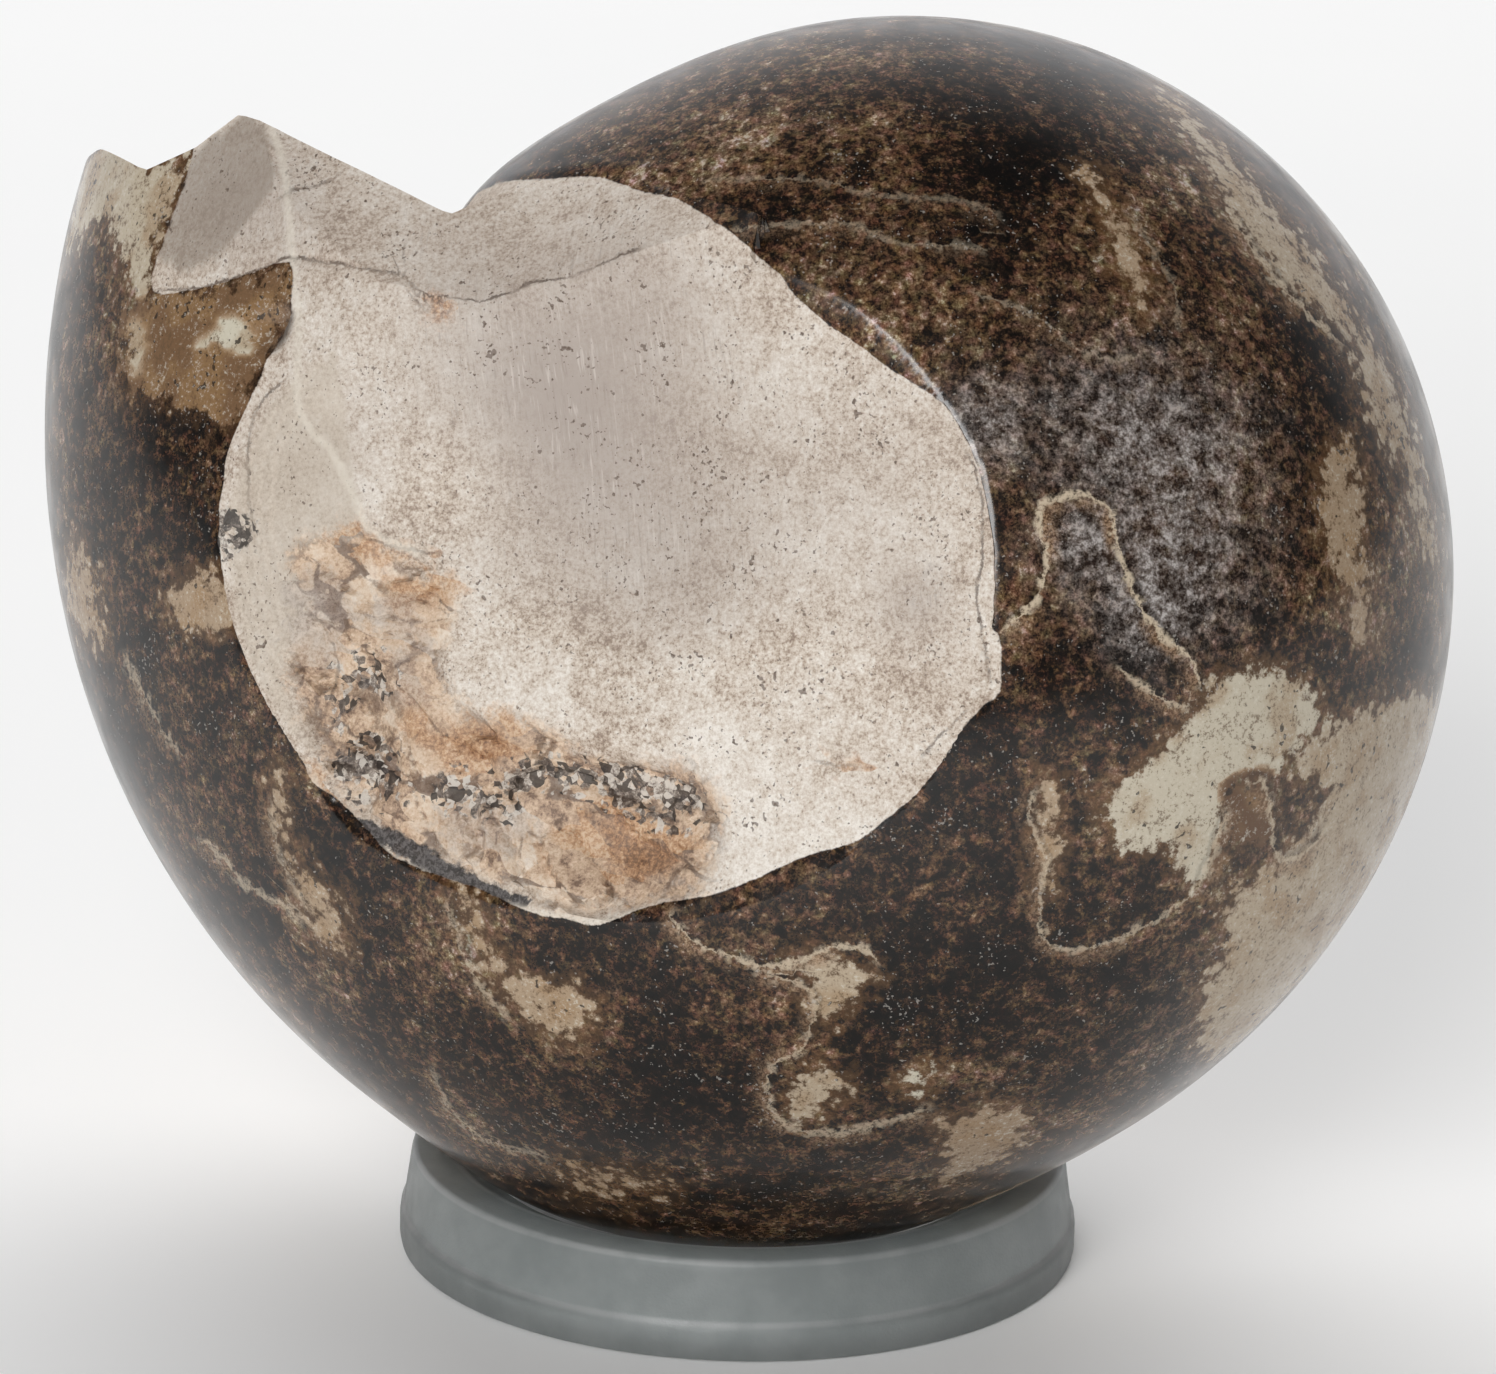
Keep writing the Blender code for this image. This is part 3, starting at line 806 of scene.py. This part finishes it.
def build_ammonite(material):
    net, corners, rays = ray_net()
    edges = np.array([[vertex.index for vertex in edge.verts] for edge in net.edges])
    on_crease = np.zeros(len(rays), dtype=bool)
    for _ in range(2):
        snap_to_creases(rays, edges, on_crease)
    points, facets = stone_surface(rays)
    for vertex, point in zip(net.verts, points):
        vertex.co = point
    split_along_creases(net, on_crease)
    bmesh.ops.recalc_face_normals(net, faces=net.faces[:])
    mesh = bpy.data.meshes.new("ammonite_stone")
    net.to_mesh(mesh)
    net.free()

    normals = np.zeros(len(points) * 3, np.float32)
    mesh.vertex_normals.foreach_get("vector", normals)
    normals = normals.reshape(-1, 3)
    fields = surface_fields(points, normals, facets)
    moved = points + normals * relief(points, fields)[:, None] * MM + SHELL_CENTRE
    low, high = (np.array(corner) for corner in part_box("ammonite"))
    mesh.vertices.foreach_set("co", np.clip(moved, low, high).astype(np.float32).ravel())
    for name, channels in ATTRIBUTES.items():
        store(mesh, name, *(fields[channel] for channel in channels))
    unwrap_cube(mesh, corners)
    mesh.shade_smooth()
    mesh.set_sharp_from_angle(angle=math.radians(35))
    mesh.materials.append(material)
    return mesh


# ---- Shader nodes ----

def srgb(red, green, blue):
    """A screen colour, 0 to 255, as the linear colour that a shader takes."""
    values = np.array((red, green, blue)) / 255
    linear = np.where(values <= 0.04045, values / 12.92, ((values + 0.055) / 1.055) ** 2.4)
    return (*linear.tolist(), 1.0)


class Value:
    """An output of a node tree. Numbers take plain arithmetic, which becomes nodes once it is used."""

    def __init__(self, graph, made=None, recipe=()):
        self.graph, self.made, self.recipe = graph, made, recipe

    def socket(self):
        if self.made is None:
            operation, *operands = self.recipe
            self.made = self.graph.add("ShaderNodeMath", dict(enumerate(operands)), operation=operation).made
        return self.made

    def __add__(self, other):
        for product, rest in ((self, other), (other, self)):
            if isinstance(product, Value) and product.made is None and product.recipe[0] == "MULTIPLY":
                return self.graph.calc("MULTIPLY_ADD", *product.recipe[1:], rest)
        return self.graph.calc("ADD", self, other)

    def __sub__(self, other):
        return self.graph.calc("SUBTRACT", self, other) if isinstance(other, Value) else self + -other

    def __rsub__(self, other):
        return self.graph.calc("SUBTRACT", other, self)

    def __mul__(self, other):
        return self.graph.calc("MULTIPLY", self, other)

    def __abs__(self):
        return self.graph.calc("ABSOLUTE", self)


class Graph:
    """A material, with short calls that add nodes to it and return their outputs."""

    def __init__(self, name):
        self.material = bpy.data.materials.new(name)
        self.material.use_nodes = True
        self.tree = self.material.node_tree
        self.shader = self.tree.nodes["Principled BSDF"]

    def feed(self, socket, value):
        if isinstance(value, Value):
            self.tree.links.new(value.socket(), socket)
        else:
            socket.default_value = srgb(*value) if socket.type == "RGBA" else value

    def put(self, name, value):
        """Set or link an input of the material's shader."""
        self.feed(self.shader.inputs[name], value)

    def add(self, kind, inputs, output=0, **settings):
        node = self.tree.nodes.new(kind)
        for name, value in settings.items():
            setattr(node, name, value)
        for key, value in inputs.items():
            self.feed(node.inputs[key], value)
        return Value(self, node.outputs[output])

    def calc(self, operation, *values):
        return Value(self, recipe=(operation, *values))

    def step(self, value, low, high, start=0.0, end=1.0):
        """A smooth change from start to end as value goes from low to high."""
        return self.add("ShaderNodeMapRange", {0: value, 1: low, 2: high, 3: start, 4: end},
                        interpolation_type="SMOOTHSTEP")

    def mix(self, share, first, second, blend="MIX"):
        return self.add("ShaderNodeMix", {0: share, 6: first, 7: second}, output=2,
                        data_type="RGBA", blend_type=blend)

    def ramp(self, value, *stops):
        """A colour that changes along a value; each stop is a value and its colour."""
        node = self.tree.nodes.new("ShaderNodeValToRGB")
        self.feed(node.inputs[0], value)
        elements = node.color_ramp.elements
        while len(elements) < len(stops):
            elements.new(0.5)
        for element, (position, colour) in zip(elements, stops):
            element.position = position
            element.color = srgb(*colour)
        return Value(self, node.outputs[0])

    def noise(self, vector, scale, detail, roughness=0.55, output=0):
        inputs = {"Vector": vector, "Scale": scale, "Detail": detail, "Roughness": roughness}
        return self.add("ShaderNodeTexNoise", inputs, output=output)

    def cells(self, vector, scale, output=0):
        """Packed cells: the distance to the nearest one's centre, or with output 1 its colour."""
        return self.add("ShaderNodeTexVoronoi", {"Vector": vector, "Scale": scale}, output=output)

    def parts(self, vector):
        node = self.tree.nodes.new("ShaderNodeSeparateXYZ")
        self.feed(node.inputs[0], vector)
        return tuple(Value(self, output) for output in node.outputs)

    def attribute(self, name):
        return self.add("ShaderNodeAttribute", {}, output=1, attribute_name=name)

    def millimetres(self):
        """The object's own coordinates, in mm."""
        place = self.add("ShaderNodeTexCoord", {}, output=3)
        return self.add("ShaderNodeVectorMath", {0: place, 3: 1000.0}, operation="SCALE")

    def warp(self, vector, scale, amount):
        """The vector, shaken by noise."""
        shake = self.noise(vector, scale, 1.0, output=1)
        centred = self.add("ShaderNodeVectorMath", {0: shake, 1: (0.5, 0.5, 0.5)}, operation="SUBTRACT")
        scaled = self.add("ShaderNodeVectorMath", {0: centred, 3: amount}, operation="SCALE")
        return self.add("ShaderNodeVectorMath", {0: vector, 1: scaled}, operation="ADD")

    def stretch(self, vector, size, turn=0.0):
        """The vector turned about its third axis and scaled by three factors."""
        inputs = {"Vector": vector, "Rotation": (0.0, 0.0, turn), "Scale": size}
        return self.add("ShaderNodeMapping", inputs, vector_type="TEXTURE")

    def bump(self, height):
        return self.add("ShaderNodeBump", {"Strength": 1.0, "Distance": MM, "Height": height})


# ---- Materials ----

# Noise shared by several parts of the stone: scale per mm, detail and roughness.
SHELL_SWIRL = (0.17, 3.0, 0.6)
GROUND_SWIRL = (0.2, 3.0, 0.6)
CLOUDS = (0.4, 1.5, 0.6)
MOTTLE = (1.0, 4.0, 0.75)
GRAIN = (4.4, 2.5, 0.8)
FINE_GRAINS, COARSE_GRAINS = 4.6, 2.3
# Packed cells and smaller crystals: how the place is shaken, and both scales per mm.
CELL_SHAKE = (0.8, 0.7)
CELLS, CRYSTAL_CELLS = 1.15, 2.6


def grains(graph, place, scale, amount):
    """Scattered ragged grains: the peaks of fine noise, in loose clusters. A larger amount gives more."""
    height = graph.noise(place, *CLOUDS) * 0.4 + graph.noise(place, scale, 1.5, 0.5)
    return graph.step(height, 0.95 - amount, 0.99 - amount)


def dark_calcite(graph, place, fields):
    """Polished black and brown calcite: granular, with nets of cell joints and pale bluish-grey spots."""
    warmth, pale_grey, _ = fields["tint"]
    signed, reach, _ = fields["line"]
    near_patch = graph.step(fields["patch"][0], -2.8, -0.6)
    swirl, clouds = graph.noise(place, *SHELL_SWIRL), graph.noise(place, *CLOUDS)
    mottle, grain = graph.noise(place, *MOTTLE), graph.noise(place, *GRAIN)
    shaken = graph.warp(place, *CELL_SHAKE)
    crystal = graph.parts(graph.cells(shaken, CRYSTAL_CELLS, output=1))[0]
    net = graph.calc("MAXIMUM", graph.step(clouds, 0.56, 0.68, 0.0, 0.7), near_patch)
    joint = graph.step(graph.cells(shaken, CELLS), 0.38, 0.72, -0.05, 0.12) * net
    halo = graph.step(abs(signed), 0.0, 1.1, 0.10, 0.0) * reach

    value = swirl * 0.75 + warmth * 0.10 + mottle * 1.05 + (grain - 0.5) * 0.85 + (crystal - 0.5) * 0.17
    colour = graph.ramp(value + joint + halo - 0.27, (0.38, (9, 5, 3)), (0.54, (36, 23, 15)),
                        (0.66, (74, 52, 35)), (0.79, (108, 83, 60)), (0.92, (146, 124, 100)),
                        (1.0, (186, 174, 158)))
    colour = graph.mix(0.28, colour, graph.noise(place, 2.0, 0.5, 0.7, output=1), "OVERLAY")
    colour = graph.mix(graph.step(clouds, 0.47, 0.65, 0.0, 0.6), colour, (80, 84, 80), "SOFT_LIGHT")
    pale_grey_colour = graph.ramp((grain - 0.5) * 0.8 + mottle, (0.36, (56, 43, 36)), (0.46, (104, 95, 89)),
                      (0.56, (134, 127, 123)), (0.68, (184, 178, 174)))
    return graph.mix(pale_grey * graph.step(mottle, 0.33, 0.60, 0.45, 1.0), colour, pale_grey_colour)


def patch_colour(graph, place, tone):
    """Tan to cream patches, stained and dotted with brown."""
    value = graph.noise(place, *MOTTLE) * 0.8 + graph.noise(place, *GRAIN)
    pale = graph.ramp(tone, (0.0, (92, 64, 42)), (0.5, (138, 110, 82)), (0.75, (172, 150, 124)),
                      (0.95, (204, 197, 178)))
    pale = graph.mix(graph.step(graph.noise(place, *CLOUDS), 0.48, 0.64, 0.0, 0.5), pale, (152, 120, 82))
    pale = graph.mix(graph.step(value, 0.68, 0.88, 0.75, 0.0), pale, (100, 78, 56))
    pale = graph.mix(graph.step(value, 0.96, 1.16, 0.0, 0.6), pale, (212, 206, 192))
    return graph.mix(grains(graph, place, COARSE_GRAINS, 0.06) * 0.85, pale, (40, 34, 29))


def polished_colour(graph, place, fields):
    """Dark calcite with tan patches and light chamber walls."""
    patch_depth, tone, _ = fields["patch"]
    signed, reach, _ = fields["line"]
    wobble = graph.noise(place, *MOTTLE) - 0.5
    cell = graph.cells(graph.warp(place, *CELL_SHAKE), CELLS)
    depth = wobble * 3.4 + (cell - 0.5) * -1.4 + patch_depth
    halo_brown = graph.mix(tone, (62, 45, 32), (116, 84, 52))
    colour = dark_calcite(graph, place, fields)
    colour = graph.mix(graph.step(depth, -1.1, 0.05, 0.0, 0.5), colour, halo_brown)
    colour = graph.mix(graph.step(depth, -0.05, 0.5), colour, patch_colour(graph, place, tone))

    clouds, grain = graph.noise(place, *CLOUDS), graph.noise(place, *GRAIN)
    wander = wobble * 1.1 + signed
    band = graph.step(wander, 0.2, 1.1, 0.8, 0.0) * graph.step(wander, -0.1, 0.05)
    band = band * reach * graph.step(clouds, 0.40, 0.56)
    band_colour = graph.mix(graph.step(grain, 0.4, 0.6), (92, 68, 48), (168, 138, 110))
    colour = graph.mix(band, colour, band_colour)
    under = graph.step(abs(wander + 0.28), 0.05, 0.22, 0.5, 0.0) * reach
    colour = graph.mix(under, colour, (22, 17, 14))
    width = graph.step(graph.noise(place, 1.3, 1.0, 0.7), 0.38, 0.66, 0.08, 0.5)
    thread = graph.step(abs(wander), 0.02, width, 1.0, 0.0)
    colour = graph.mix(thread * (reach * graph.step(grain, 0.34, 0.54, 0.25, 1.0)), colour, (198, 182, 158))
    return graph.mix(grains(graph, place, FINE_GRAINS, 0.04) * 0.38, colour, (196, 190, 182))


def limestone(graph, place, saw_place, fields):
    """Ground limestone: pale, with saw marks, painted shade that greys the sawn trough, the faces turned
    from the light and the block's left side, painted light on its lower part, faint bands on the left facet
    and dark grains.
    """
    ground, rough, _ = fields["zone"]
    left, block, _ = fields["facet"]
    painted_shading = fields["tint"][2]
    swirl, mottle = graph.noise(place, *GROUND_SWIRL), graph.noise(place, *MOTTLE)
    value = graph.noise(place, *GRAIN) + mottle * 0.6 + swirl * 0.55 - 0.57
    # Painted light: where the spots fall below zero, the stone is brightened.
    value = graph.calc("MINIMUM", painted_shading, 0.0) * -0.16 + value
    colour = graph.ramp(value, (0.28, (142, 122, 106)), (0.42, (188, 171, 154)), (0.52, (209, 196, 182)),
                        (0.64, (222, 213, 202)), (0.78, (236, 229, 220)))
    # Painted shade: the stone greys where the spots rise above zero.
    colour = graph.mix(graph.calc("MAXIMUM", painted_shading * 0.7, 0.0), colour, (168, 156, 147))

    sawn = graph.noise(graph.stretch(saw_place, (0.20, 2.4, 1.0)), 1.0, 2.0, 0.7)
    # The saw marks show where the painted shade greys the trough.
    saw_mask = graph.step(painted_shading, 0.15, 0.7) * graph.step(swirl, 0.4, 0.55, 0.4, 1.0)
    colour = graph.mix(graph.step(sawn, 0.56, 0.70, 0.0, 0.45) * saw_mask, colour, (214, 206, 198))
    colour = graph.mix(graph.step(sawn, 0.30, 0.44, 0.35, 0.0) * saw_mask, colour, (140, 126, 116))

    bands = graph.calc("SINE", (mottle * 0.5 + ground) * 9.0)
    banded = graph.mix(graph.step(bands, -1.0, 1.0, 0.0, 0.35), (202, 190, 174), (170, 157, 141))
    colour = graph.mix(left * graph.step(rough, -0.5, 0.5, 0.55, 0.1), colour, banded)
    # Painted shade: the block's left side, turned from the light, is darkened.
    colour = graph.mix(block * 0.6, colour, (140, 128, 116))
    colour = graph.mix(grains(graph, place, FINE_GRAINS, 0.065) * 0.7, colour, (92, 74, 60))
    return graph.mix(grains(graph, place, COARSE_GRAINS, 0.035) * 0.7, colour, (86, 66, 52))


def with_broken_stone(graph, colour, place, saw_place, fields):
    """The ground stone's colour, with splinters, rust, lilac bands and crystals where it broke."""
    _, rough, crystal = fields["zone"]
    rust, lilac, _ = fields["stain"]
    tone, joint, _ = fields["splinter"]
    swirl, mottle, grain = (graph.noise(place, *kind) for kind in (GROUND_SWIRL, MOTTLE, GRAIN))
    shards = graph.stretch(graph.warp(saw_place, 0.45, 2.2), (3.0, 1.1, 1.0), SPLINTER_LEAN)
    shard = graph.parts(graph.cells(shards, 1.0, output=1))[0]
    shaken = (mottle - 0.5) * 4.0 + (swirl - 0.5) * 5.0
    fray = shaken + (shard - 0.5) * 2.0

    laid = tone * 0.10 + shard * 0.30 + mottle + (grain - 0.5) * 0.5
    broken = graph.ramp(laid, (0.44, (118, 92, 74)), (0.56, (176, 146, 120)), (0.68, (206, 178, 150)),
                        (0.82, (220, 200, 178)), (0.96, (230, 216, 200)))
    seam = (mottle - 0.5) * 0.35 + (0.78 - graph.cells(shards, 1.0))
    broken = graph.mix(graph.step(seam, -0.02, 0.06, 0.8, 0.0), broken, (96, 74, 60))
    broken = graph.mix(graph.step((mottle - 0.5) * 0.5 + joint, 0.0, 0.10, 0.6, 0.0), broken, (92, 70, 56))
    colour = graph.mix(graph.step(rough + shaken, -0.6, 0.9, 0.0, 0.9), colour, broken)

    rusty = graph.ramp(shard * 0.25 + grain, (0.45, (104, 70, 46)), (0.58, (152, 106, 68)),
                       (0.70, (186, 142, 102)), (0.82, (206, 176, 144)))
    colour = graph.mix(graph.step(rust + fray, -0.5, 0.9, 0.0, 0.8), colour, rusty)
    violet = graph.mix(graph.step(grain, 0.35, 0.6), (108, 95, 90), (166, 150, 140))
    colour = graph.mix(graph.step(lilac + fray, -0.4, 0.8, 0.0, 0.4), colour, violet)

    crumb = graph.parts(graph.cells(graph.warp(place, *CELL_SHAKE), CRYSTAL_CELLS, output=1))
    crystals = graph.ramp((grain - 0.5) * 1.2 + crumb[0], (0.20, (22, 19, 20)), (0.42, (62, 55, 53)),
                          (0.62, (126, 115, 106)), (0.85, (206, 198, 188)))
    scattered = (crumb[1] - 0.5) * 1.6 + (fray * 0.6 + crystal)
    return graph.mix(graph.step(scattered, -0.30, 0.05, 0.0, 0.88), colour, crystals)


def with_edges_and_cracks(graph, colour, place, fields):
    """The ground stone's colour, with painted shade in the groove under its lower rim, the hollow at its
    rim, its cracks, and its bright rim lines: a painted highlight along its ridges and pale bands of shell.
    """
    strip, pit = fields["facet"][2], fields["stain"][2]
    crack, crack_reach, _ = fields["crack"]
    rim, rim_reach, _ = fields["rim"]
    mottle = graph.noise(place, *MOTTLE)
    wobble = mottle - 0.5
    # Painted shade: the groove under the lower rim is coloured near black.
    groove_shade_colour = graph.mix(graph.step(graph.noise(place, *GRAIN), 0.4, 0.62), (26, 24, 26), (92, 88, 88))
    colour = graph.mix(graph.step(wobble * 1.4 + strip, -0.12, 0.1, 0.0, 0.95), colour, groove_shade_colour)
    colour = graph.mix(graph.step(pit, -0.3, 0.4, 0.0, 0.85), colour, (62, 54, 48))
    dark = graph.step(abs(wobble * 0.8 + crack), 0.03, 0.14, 0.85, 0.0) * crack_reach
    colour = graph.mix(dark * graph.step(mottle, 0.35, 0.6, 0.3, 1.0), colour, (84, 68, 56))
    # Painted highlight along the ridges of the block and the left facet, and pale shell bands along the
    # upper and lower rims.
    bright = graph.step(abs(wobble * 0.7 + rim), 0.05, 0.4, 0.5, 0.0) * rim_reach
    return graph.mix(bright, colour, (222, 214, 200))


def stone_material():
    """Polished dark shell and pale ground stone, told apart by the distances kept on the mesh."""
    graph = Graph("fossil_stone")
    place = graph.millimetres()
    saw_place = graph.attribute("sawn")
    fields = {name: graph.parts(graph.attribute(name)) for name in ATTRIBUTES if name != "sawn"}

    ground = limestone(graph, place, saw_place, fields)
    ground = with_broken_stone(graph, ground, place, saw_place, fields)
    ground = with_edges_and_cracks(graph, ground, place, fields)
    inside = graph.step((graph.noise(place, *MOTTLE) - 0.5) * 0.35 + fields["zone"][0], -0.05, 0.05)
    graph.put("Base Color", graph.mix(inside, polished_colour(graph, place, fields), ground))

    gloss = graph.step(graph.noise(place, *CLOUDS), 0.3, 0.7, 0.16, 0.26)
    matt = graph.step(graph.noise(place, *GRAIN), 0.3, 0.7, 0.5, 0.72)
    graph.put("Roughness", gloss * (1.0 - inside) + matt * inside)

    fine = graph.noise(place, *GRAIN) * 0.05 * graph.step(fields["zone"][0], -0.15, 0.15)
    graph.put("Normal", graph.bump(graph.noise(place, 1.4, 1.0, 0.5) * 0.008 + fine))
    graph.put("IOR", 1.5)
    return graph.material


def ring_material():
    """Frosted clear plastic, with faint flow marks and painted highlights along its top edge, its step and
    the seat's edge.
    """
    graph = Graph("frosted_plastic")
    place = graph.millimetres()
    across, along, height = graph.parts(place)
    across, along = across - RING_X / MM, along - RING_Y / MM
    radius = graph.calc("SQRT", across * across + along * along)
    smear = graph.noise(place, 0.3, 3.0, 0.6)
    cloudy = graph.mix(graph.step(smear, 0.3, 0.7), (196, 203, 202), (216, 222, 221))

    # Where the painted highlights lie: the top edge, the step and the seat's edge.
    top_edge = abs(height - (RING_HEIGHT - 0.4 * RING_EDGE) / MM)
    seat_edge = abs(radius - (RING_SEAT + 0.0003) / MM) + graph.step(height, 5.3, 5.6, 1.0, 0.0)
    outer = graph.step(radius, 17.6, 17.9)
    near_top = graph.step(top_edge, 0.06, 0.22, 0.8, 0.0) * outer
    near_step = graph.step(abs(height - RING_STEP / MM), 0.05, 0.25, 0.6, 0.0) * outer
    near_seat = graph.step(seat_edge, 0.15, 0.4, 0.8, 0.0)
    # Painted highlights along these edges, patchy with the smear noise.
    worn = graph.calc("MAXIMUM", graph.calc("MAXIMUM", near_top, near_step), near_seat)
    worn = worn * graph.step(smear, 0.3, 0.6, 0.4, 1.0)
    graph.put("Base Color", graph.mix(worn, cloudy, (252, 253, 253)))
    graph.put("Roughness", graph.step(graph.noise(place, 0.8, 3.0), 0.3, 0.7, 0.38, 0.52))
    graph.put("Normal", graph.bump(graph.noise(place, 6.0, 3.0, 0.6) * 0.02))
    graph.put("Transmission Weight", 0.75)
    graph.put("IOR", 1.49)
    return graph.material


# ---- Display ring ----

def ring_profile():
    """Outline of the ring's wall, as radius and height: a foot band, a faint step, the wall and the seat."""
    wall_top = RING_TOP + RING_WALL_SPREAD
    return (
        (RING_BORE + RING_EDGE, 0.0),
        (RING_FOOT - RING_EDGE, 0.0),
        (RING_FOOT - RING_EDGE * 0.15, RING_EDGE * 0.3),
        (RING_FOOT, RING_EDGE),
        (RING_FOOT, RING_BAND * 0.6),
        (RING_FOOT - 0.00005, RING_STEP - 0.0002),
        (RING_FOOT - 0.0002, RING_STEP),
        (RING_FOOT - 0.00025, RING_STEP + 0.0003),
        (wall_top + 0.0001, RING_HEIGHT - RING_EDGE * 1.4),
        (wall_top, RING_HEIGHT - RING_EDGE * 0.6),
        (wall_top - RING_EDGE * 0.2, RING_HEIGHT - RING_EDGE * 0.2),
        (wall_top - RING_EDGE * 0.6, RING_HEIGHT),
        (RING_SEAT + 0.0004, RING_HEIGHT),
        (RING_SEAT + 0.0001, RING_HEIGHT - 0.0001),
        (RING_BORE + 0.0003, RING_HEIGHT - RING_SEAT_DEPTH + 0.0001),
        (RING_BORE, RING_HEIGHT - RING_SEAT_DEPTH - 0.0003),
        (RING_BORE, RING_EDGE),
        (RING_BORE + RING_EDGE * 0.3, RING_EDGE * 0.3),
    )


def build_ring(material):
    ring = bmesh.new()
    outline = [ring.verts.new((radius, 0.0, height)) for radius, height in ring_profile()]
    loop = [ring.edges.new(pair) for pair in zip(outline, outline[1:] + outline[:1])]
    bmesh.ops.spin(ring, geom=outline + loop, axis=(0, 0, 1), angle=2 * math.pi, steps=RING_SEGMENTS,
                   use_merge=True)
    bmesh.ops.translate(ring, verts=ring.verts[:], vec=(RING_X, RING_Y, 0.0))
    bmesh.ops.recalc_face_normals(ring, faces=ring.faces[:])
    mesh = bpy.data.meshes.new("ring_plastic")
    ring.to_mesh(mesh)
    ring.free()
    mesh.shade_smooth()
    mesh.set_sharp_from_angle(angle=math.radians(40))
    mesh.materials.append(material)
    return mesh


# ---- Pieces, stage, light and camera ----

def add_piece(name, mesh, node):
    """Show a mesh in place of a CAD node."""
    piece = bpy.data.objects.new(name, mesh)
    bpy.context.scene.collection.objects.link(piece)
    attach(piece, "root")
    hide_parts(node)
    return piece


def add_floor():
    graph = Graph("floor")
    place = graph.millimetres()
    graph.put("Base Color", graph.mix(graph.noise(place, 0.02, 2.0), (250, 250, 250), (253, 253, 252)))
    graph.put("Roughness", 0.8)
    bpy.ops.mesh.primitive_plane_add(size=12.0, location=(0.0, 0.0, 0.0))
    floor = bpy.context.object
    floor.name = "floor"
    floor.data.materials.append(graph.material)


def add_world():
    """Soft white surroundings that are dim on the side the object faces, as in front of a dark room."""
    world = bpy.data.worlds.new("studio")
    world.use_nodes = True
    tree = world.node_tree
    direction = tree.nodes.new("ShaderNodeTexCoord").outputs["Generated"]
    toward_room = tree.nodes.new("ShaderNodeVectorMath")
    toward_room.operation = "DOT_PRODUCT"
    toward_room.inputs[1].default_value = ROOM_SIDE
    strength = tree.nodes.new("ShaderNodeMapRange")
    strength.interpolation_type = "SMOOTHSTEP"
    for socket, value in zip(strength.inputs[1:5], (*ROOM_FADE, WHITE_STRENGTH, ROOM_STRENGTH)):
        socket.default_value = value
    background = tree.nodes["Background"]
    background.inputs["Color"].default_value = srgb(250, 250, 252)
    tree.links.new(direction, toward_room.inputs[0])
    tree.links.new(toward_room.outputs["Value"], strength.inputs[0])
    tree.links.new(strength.outputs[0], background.inputs["Strength"])
    bpy.context.scene.world = world


def add_lights():
    for name, (place, size, power, mirrored) in LAMPS.items():
        light = bpy.data.lights.new(name, "AREA")
        light.shape = "RECTANGLE"
        light.size, light.size_y = size
        light.energy = power
        lamp = bpy.data.objects.new(name, light)
        bpy.context.scene.collection.objects.link(lamp)
        lamp.location = place
        lamp.rotation_euler = (Vector(LIGHT_TARGET) - Vector(place)).to_track_quat("-Z", "Y").to_euler()
        lamp.visible_glossy = mirrored


def add_camera():
    right, up, forward = camera_axes()
    camera = bpy.data.cameras.new("camera")
    camera.sensor_fit = "HORIZONTAL"
    camera.sensor_width = SENSOR_WIDTH
    camera.lens = SENSOR_WIDTH * FOCAL_PIXELS / PHOTO_WIDTH
    camera.clip_start = 0.05
    holder = bpy.data.objects.new("camera", camera)
    bpy.context.scene.collection.objects.link(holder)
    turned = Matrix(np.stack((right, up, -forward), axis=1).tolist()).to_4x4()
    holder.matrix_world = Matrix.Translation(Vector(CAMERA_PLACE)) @ turned
    bpy.context.scene.camera = holder


def main():
    bpy.context.scene.view_settings.view_transform = "Standard"
    add_piece("ammonite_stone", build_ammonite(stone_material()), "ammonite")
    add_piece("ring_plastic", build_ring(ring_material()), "display_ring")
    add_floor()
    add_world()
    add_lights()
    add_camera()


main()
